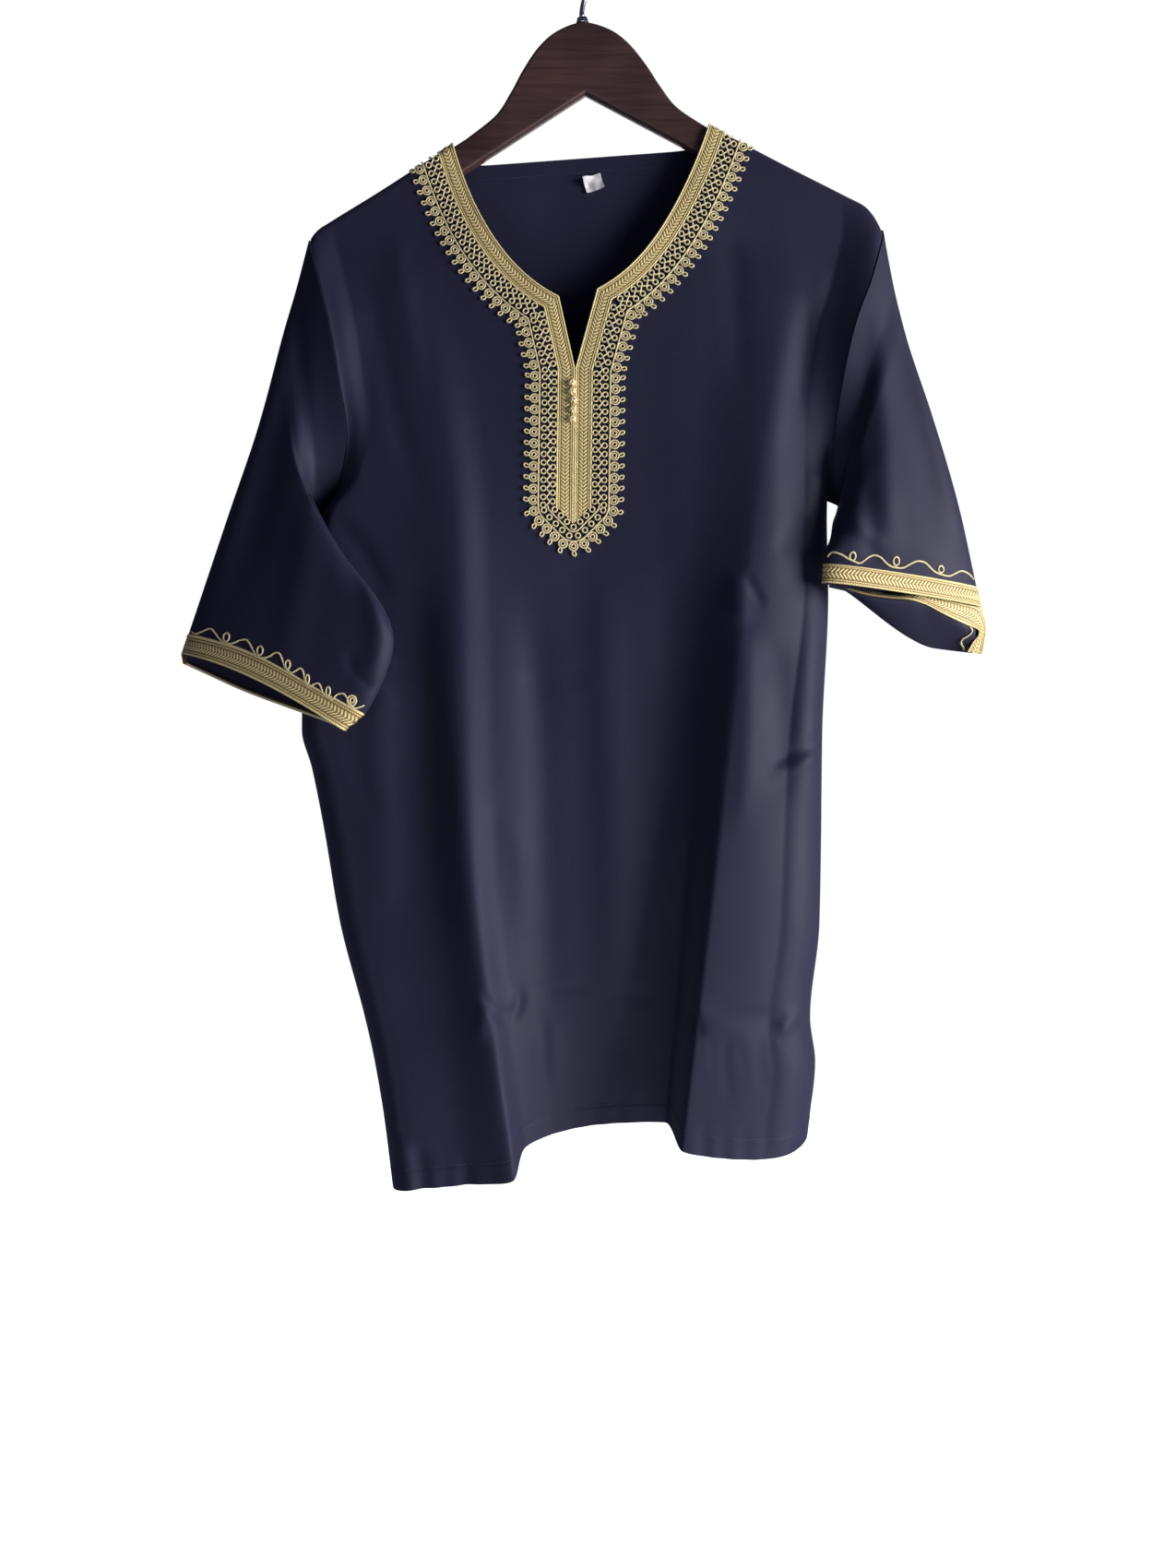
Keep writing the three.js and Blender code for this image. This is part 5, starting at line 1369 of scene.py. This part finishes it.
CUFF_RINGS = {
    "left": [
        {"at": (-275.9, -568.3), "wide": 2.6, "tall": 3.4},
        {"at": (-246.7, -579.9), "wide": 2.4, "tall": 3.6},
        {"at": (-223.4, -591.4), "wide": 1.9, "tall": 3.3},
        {"at": (-207.4, -603.1), "wide": 1.4, "tall": 3.5},
        {"at": (-190.8, -612.4), "wide": 1.6, "tall": 3.2},
        {"at": (-172.5, -619.6), "wide": 3.4, "tall": 3.8},
        {"at": (-172.1, -619.4), "wide": 1.5, "tall": 1.9},
    ],
    "right": [
        {"at": (211.8, -507.1), "wide": 2.3, "tall": 3.1},
        {"at": (246.6, -510.0), "wide": 2.4, "tall": 3.2},
        {"at": (284.1, -514.7), "wide": 2.2, "tall": 2.7},
    ],
}
TURNED_WAVE = [(310.5, -558.1), (313.0, -561.1), (310.5, -564.4), (306.4, -567.0), (305.7, -569.9),
               (308.3, -572.9), (310.0, -575.0)]


def find_on_sleeve(rule, x, z):
    """Where the front of a sleeve lies behind each place seen from the front, and its normal there."""
    share, angle = np.meshgrid(np.linspace(0.7, 0.95, 120), np.linspace(0.06, 3.08, 300), indexing="ij")
    share, angle = share.ravel(), angle.ravel()
    spots = rule(share, angle)[:, ::2]
    nearest = [np.argmin(np.sum((spots - place) ** 2, axis=1)) for place in zip(x, z)]
    share, angle = share[nearest], angle[nearest]
    points = rule(share, angle)
    points[:, 0], points[:, 2] = x, z
    return points, sleeve_normals(rule, share, angle)


def make_cuff_cord(name, paint):
    rule = sleeve_rules[name]
    wave = spline_through(CUFF_WAVES[name], 8 * len(CUFF_WAVES[name]))
    level, upright = np.array([1.0, 0.0]), np.array([0.0, 1.0])
    rings = [ring_line(np.array(ring["at"]), level, upright, ring["tall"], ring["wide"], 16)
             for ring in CUFF_RINGS[name]]
    laid_lines = []
    for line in (wave, *rings):
        points, normals = find_on_sleeve(rule, line[:, 0], line[:, 1])
        laid_lines.append((points + normals * (COUCHED_AT + CUFF_CORD / 2), normals))
    groups = [cord_mesh(laid_lines[:1], CUFF_CORD / 2, sides=7),
              cord_mesh(laid_lines[1:], CUFF_CORD / 2, closed=True)]
    if name == "left":
        behind = np.linspace(-2.98, -0.05, 240)
        edge = rule(np.full(240, 0.995), behind)
        normals = sleeve_normals(rule, np.full(240, 0.99), behind)
        groups.append(cord_mesh([(edge - normals * 0.9, normals)], BACK_EDGE_CORD / 2, sides=8))
    if name == "right":
        flat = spline_through(TURNED_WAVE, 50)
        spots = turned_grid.reshape(-1, 3)
        nearest = [np.argmin(np.sum((spots[:, ::2] - place) ** 2, axis=1)) for place in flat]
        normals = turned_normals.reshape(-1, 3)[nearest]
        points = np.stack([flat[:, 0], spots[nearest, 1], flat[:, 1]], -1)
        path = (points + normals * (COUCHED_AT + CUFF_CORD / 2), normals)
        groups.append(cord_mesh([path], CUFF_CORD / 2, sides=7))
    return joined_cords(f"cuff_cord_{name}", groups, paint)


cuff_cords = {name: make_cuff_cord(name, lace_gold) for name in SLEEVES}


# Label: a small blank label of white ribbed tape, sewn inside the back neck.
# It is crumpled, and one corner of it has folded over.
LABEL = {"x": 12, "z": -195, "width": 15, "height": 12, "tilt": 0.3, "tape": 0.35}
# The dark tone is painted shade in the hollows between the tape's ribs, and the light tone is the white of
# their crests.
LABEL_TONES = {"dark": (0.62, 0.60, 0.61, 1), "light": (0.78, 0.76, 0.77, 1)}


def woven_label():
    paint, tree, surface = new_paint("white label tape", Roughness=0.8, Sheen_Weight=0.2)
    place = add_node(tree, "UVMap", uv_map="cloth").outputs[0]
    ribs = add_node(tree, "TexWave", {"Vector": place, "Scale": 1.1, "Distortion": 0.4}, bands_direction="Y")
    # Painted shade: the colour follows the ribs, darker in their hollows and lighter on their crests.
    tone = blend_tones(tree, ribs.outputs["Fac"], LABEL_TONES)
    bump = add_node(tree, "Bump", {"Height": ribs.outputs["Fac"], "Strength": 0.3, "Distance": 0.0001})
    tree.links.new(tone.outputs[0], surface.inputs["Base Color"])
    tree.links.new(bump.outputs[0], surface.inputs["Normal"])
    return paint


def make_label():
    across, down = np.meshgrid(np.linspace(-0.5, 0.5, 22), np.linspace(-0.5, 0.5, 18))
    dx, dz = across * LABEL["width"], -down * LABEL["height"]
    x = LABEL["x"] + dx * math.cos(LABEL["tilt"]) - dz * math.sin(LABEL["tilt"])
    z = LABEL["z"] + dx * math.sin(LABEL["tilt"]) + dz * math.cos(LABEL["tilt"])
    points, normals = find_on(back_rule, x.ravel(), z.ravel())
    curl = (0.9 + 4.2 * eased(-across - down, 0.2, 0.95) + 1.1 * np.sin(across * 9 + 1) * (down + 0.3)
            + 2.6 * eased(across, 0.1, 0.5) * eased(down, -0.1, 0.5)
            + 0.7 * np.cos(7 * (across - down))).ravel()[:, None]
    front_face = points - normals * (CLOTH + TRIM_GAP + curl)
    back_face = front_face + normals * LABEL["tape"]
    verts = np.concatenate([front_face, back_face])
    faces = outward_faces(verts, shell_faces(*across.shape))
    coords = np.tile(np.stack([dx, dz], -1).reshape(-1, 2), (2, 1))
    label = new_piece("label", verts, faces, woven_label(), coords=coords)
    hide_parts("neck_label")
    return label


label = make_label()


# Stitching: the rows of navy machine stitches that show, along both hems and under the back of the neck.
# Each is one spun thread, a touch brighter than the cloth, that dips at every needle hole.
STITCH = {"step": 3.4, "length": 2.5, "thread": 0.36, "rise": 0.14}
STITCH_TONES = {"dark": (0.012, 0.012, 0.03, 1), "light": (0.03, 0.03, 0.06, 1)}
BACK_NECK_STITCHES = {"from": -84, "to": 88, "below": 12}


def sewing_thread():
    paint, tree, surface = new_paint("navy sewing thread", Roughness=0.5, Sheen_Weight=0.2)
    place = add_node(tree, "TexCoord").outputs["Object"]
    spun = add_node(tree, "TexNoise", {"Vector": place, "Scale": 700, "Detail": 2})
    tone = blend_tones(tree, spun.outputs["Fac"], STITCH_TONES)
    tree.links.new(tone.outputs[0], surface.inputs["Base Color"])
    return paint


def sew(name, line, normals, paint):
    """A row of machine stitches along a line on the cloth: short threads that rise between the holes."""
    even, length = evenly(np.hstack([line, normals]), 4000)
    starts = np.arange(2, length - STITCH["step"], STITCH["step"]) / length * 4000
    picks = (starts[:, None] + np.array([0, 0.5, 1]) * STITCH["length"] / length * 4000).astype(int)
    proud = np.array([0.0, STITCH["rise"], 0.0])[:, None] + STITCH["thread"] / 4
    paths = [(even[pick, :3] + even[pick, 3:] * proud, even[pick, 3:]) for pick in picks]
    points, faces, _ = cord_mesh(paths, STITCH["thread"] / 2, sides=5)
    return new_piece(name, points, faces, paint, sharp=80)


def sew_hem(name, rule, paint):
    across = np.linspace(0.02, 0.98, 900)
    line = rule(across, 1 - (HEM_TURN["height"] + 0.8) / 730)
    run, fall = np.gradient(line, axis=0), line - rule(across, 1 - (HEM_TURN["height"] + 2.8) / 730)
    normals = unit(np.cross(run, fall))
    normals *= (-1 if rule is front_rule else 1) * np.sign(normals[:, 1:2].mean())
    return sew(name, line, normals, paint)


def sew_back_neck(paint):
    x = np.linspace(BACK_NECK_STITCHES["from"], BACK_NECK_STITCHES["to"], 200)
    z = shoulder_height(x) - BACK_NECK_DIP - BACK_NECK_STITCHES["below"]
    points, normals = find_on(back_rule, x, z)
    return sew("back_neck_stitches", points - normals * CLOTH, -normals, paint)


thread = sewing_thread()
front_stitches = sew_hem("front_hem_stitches", front_rule, thread)
back_stitches = [sew_hem("back_hem_stitches", back_rule, thread), sew_back_neck(thread)]


scene.view_settings.view_transform = "Standard"
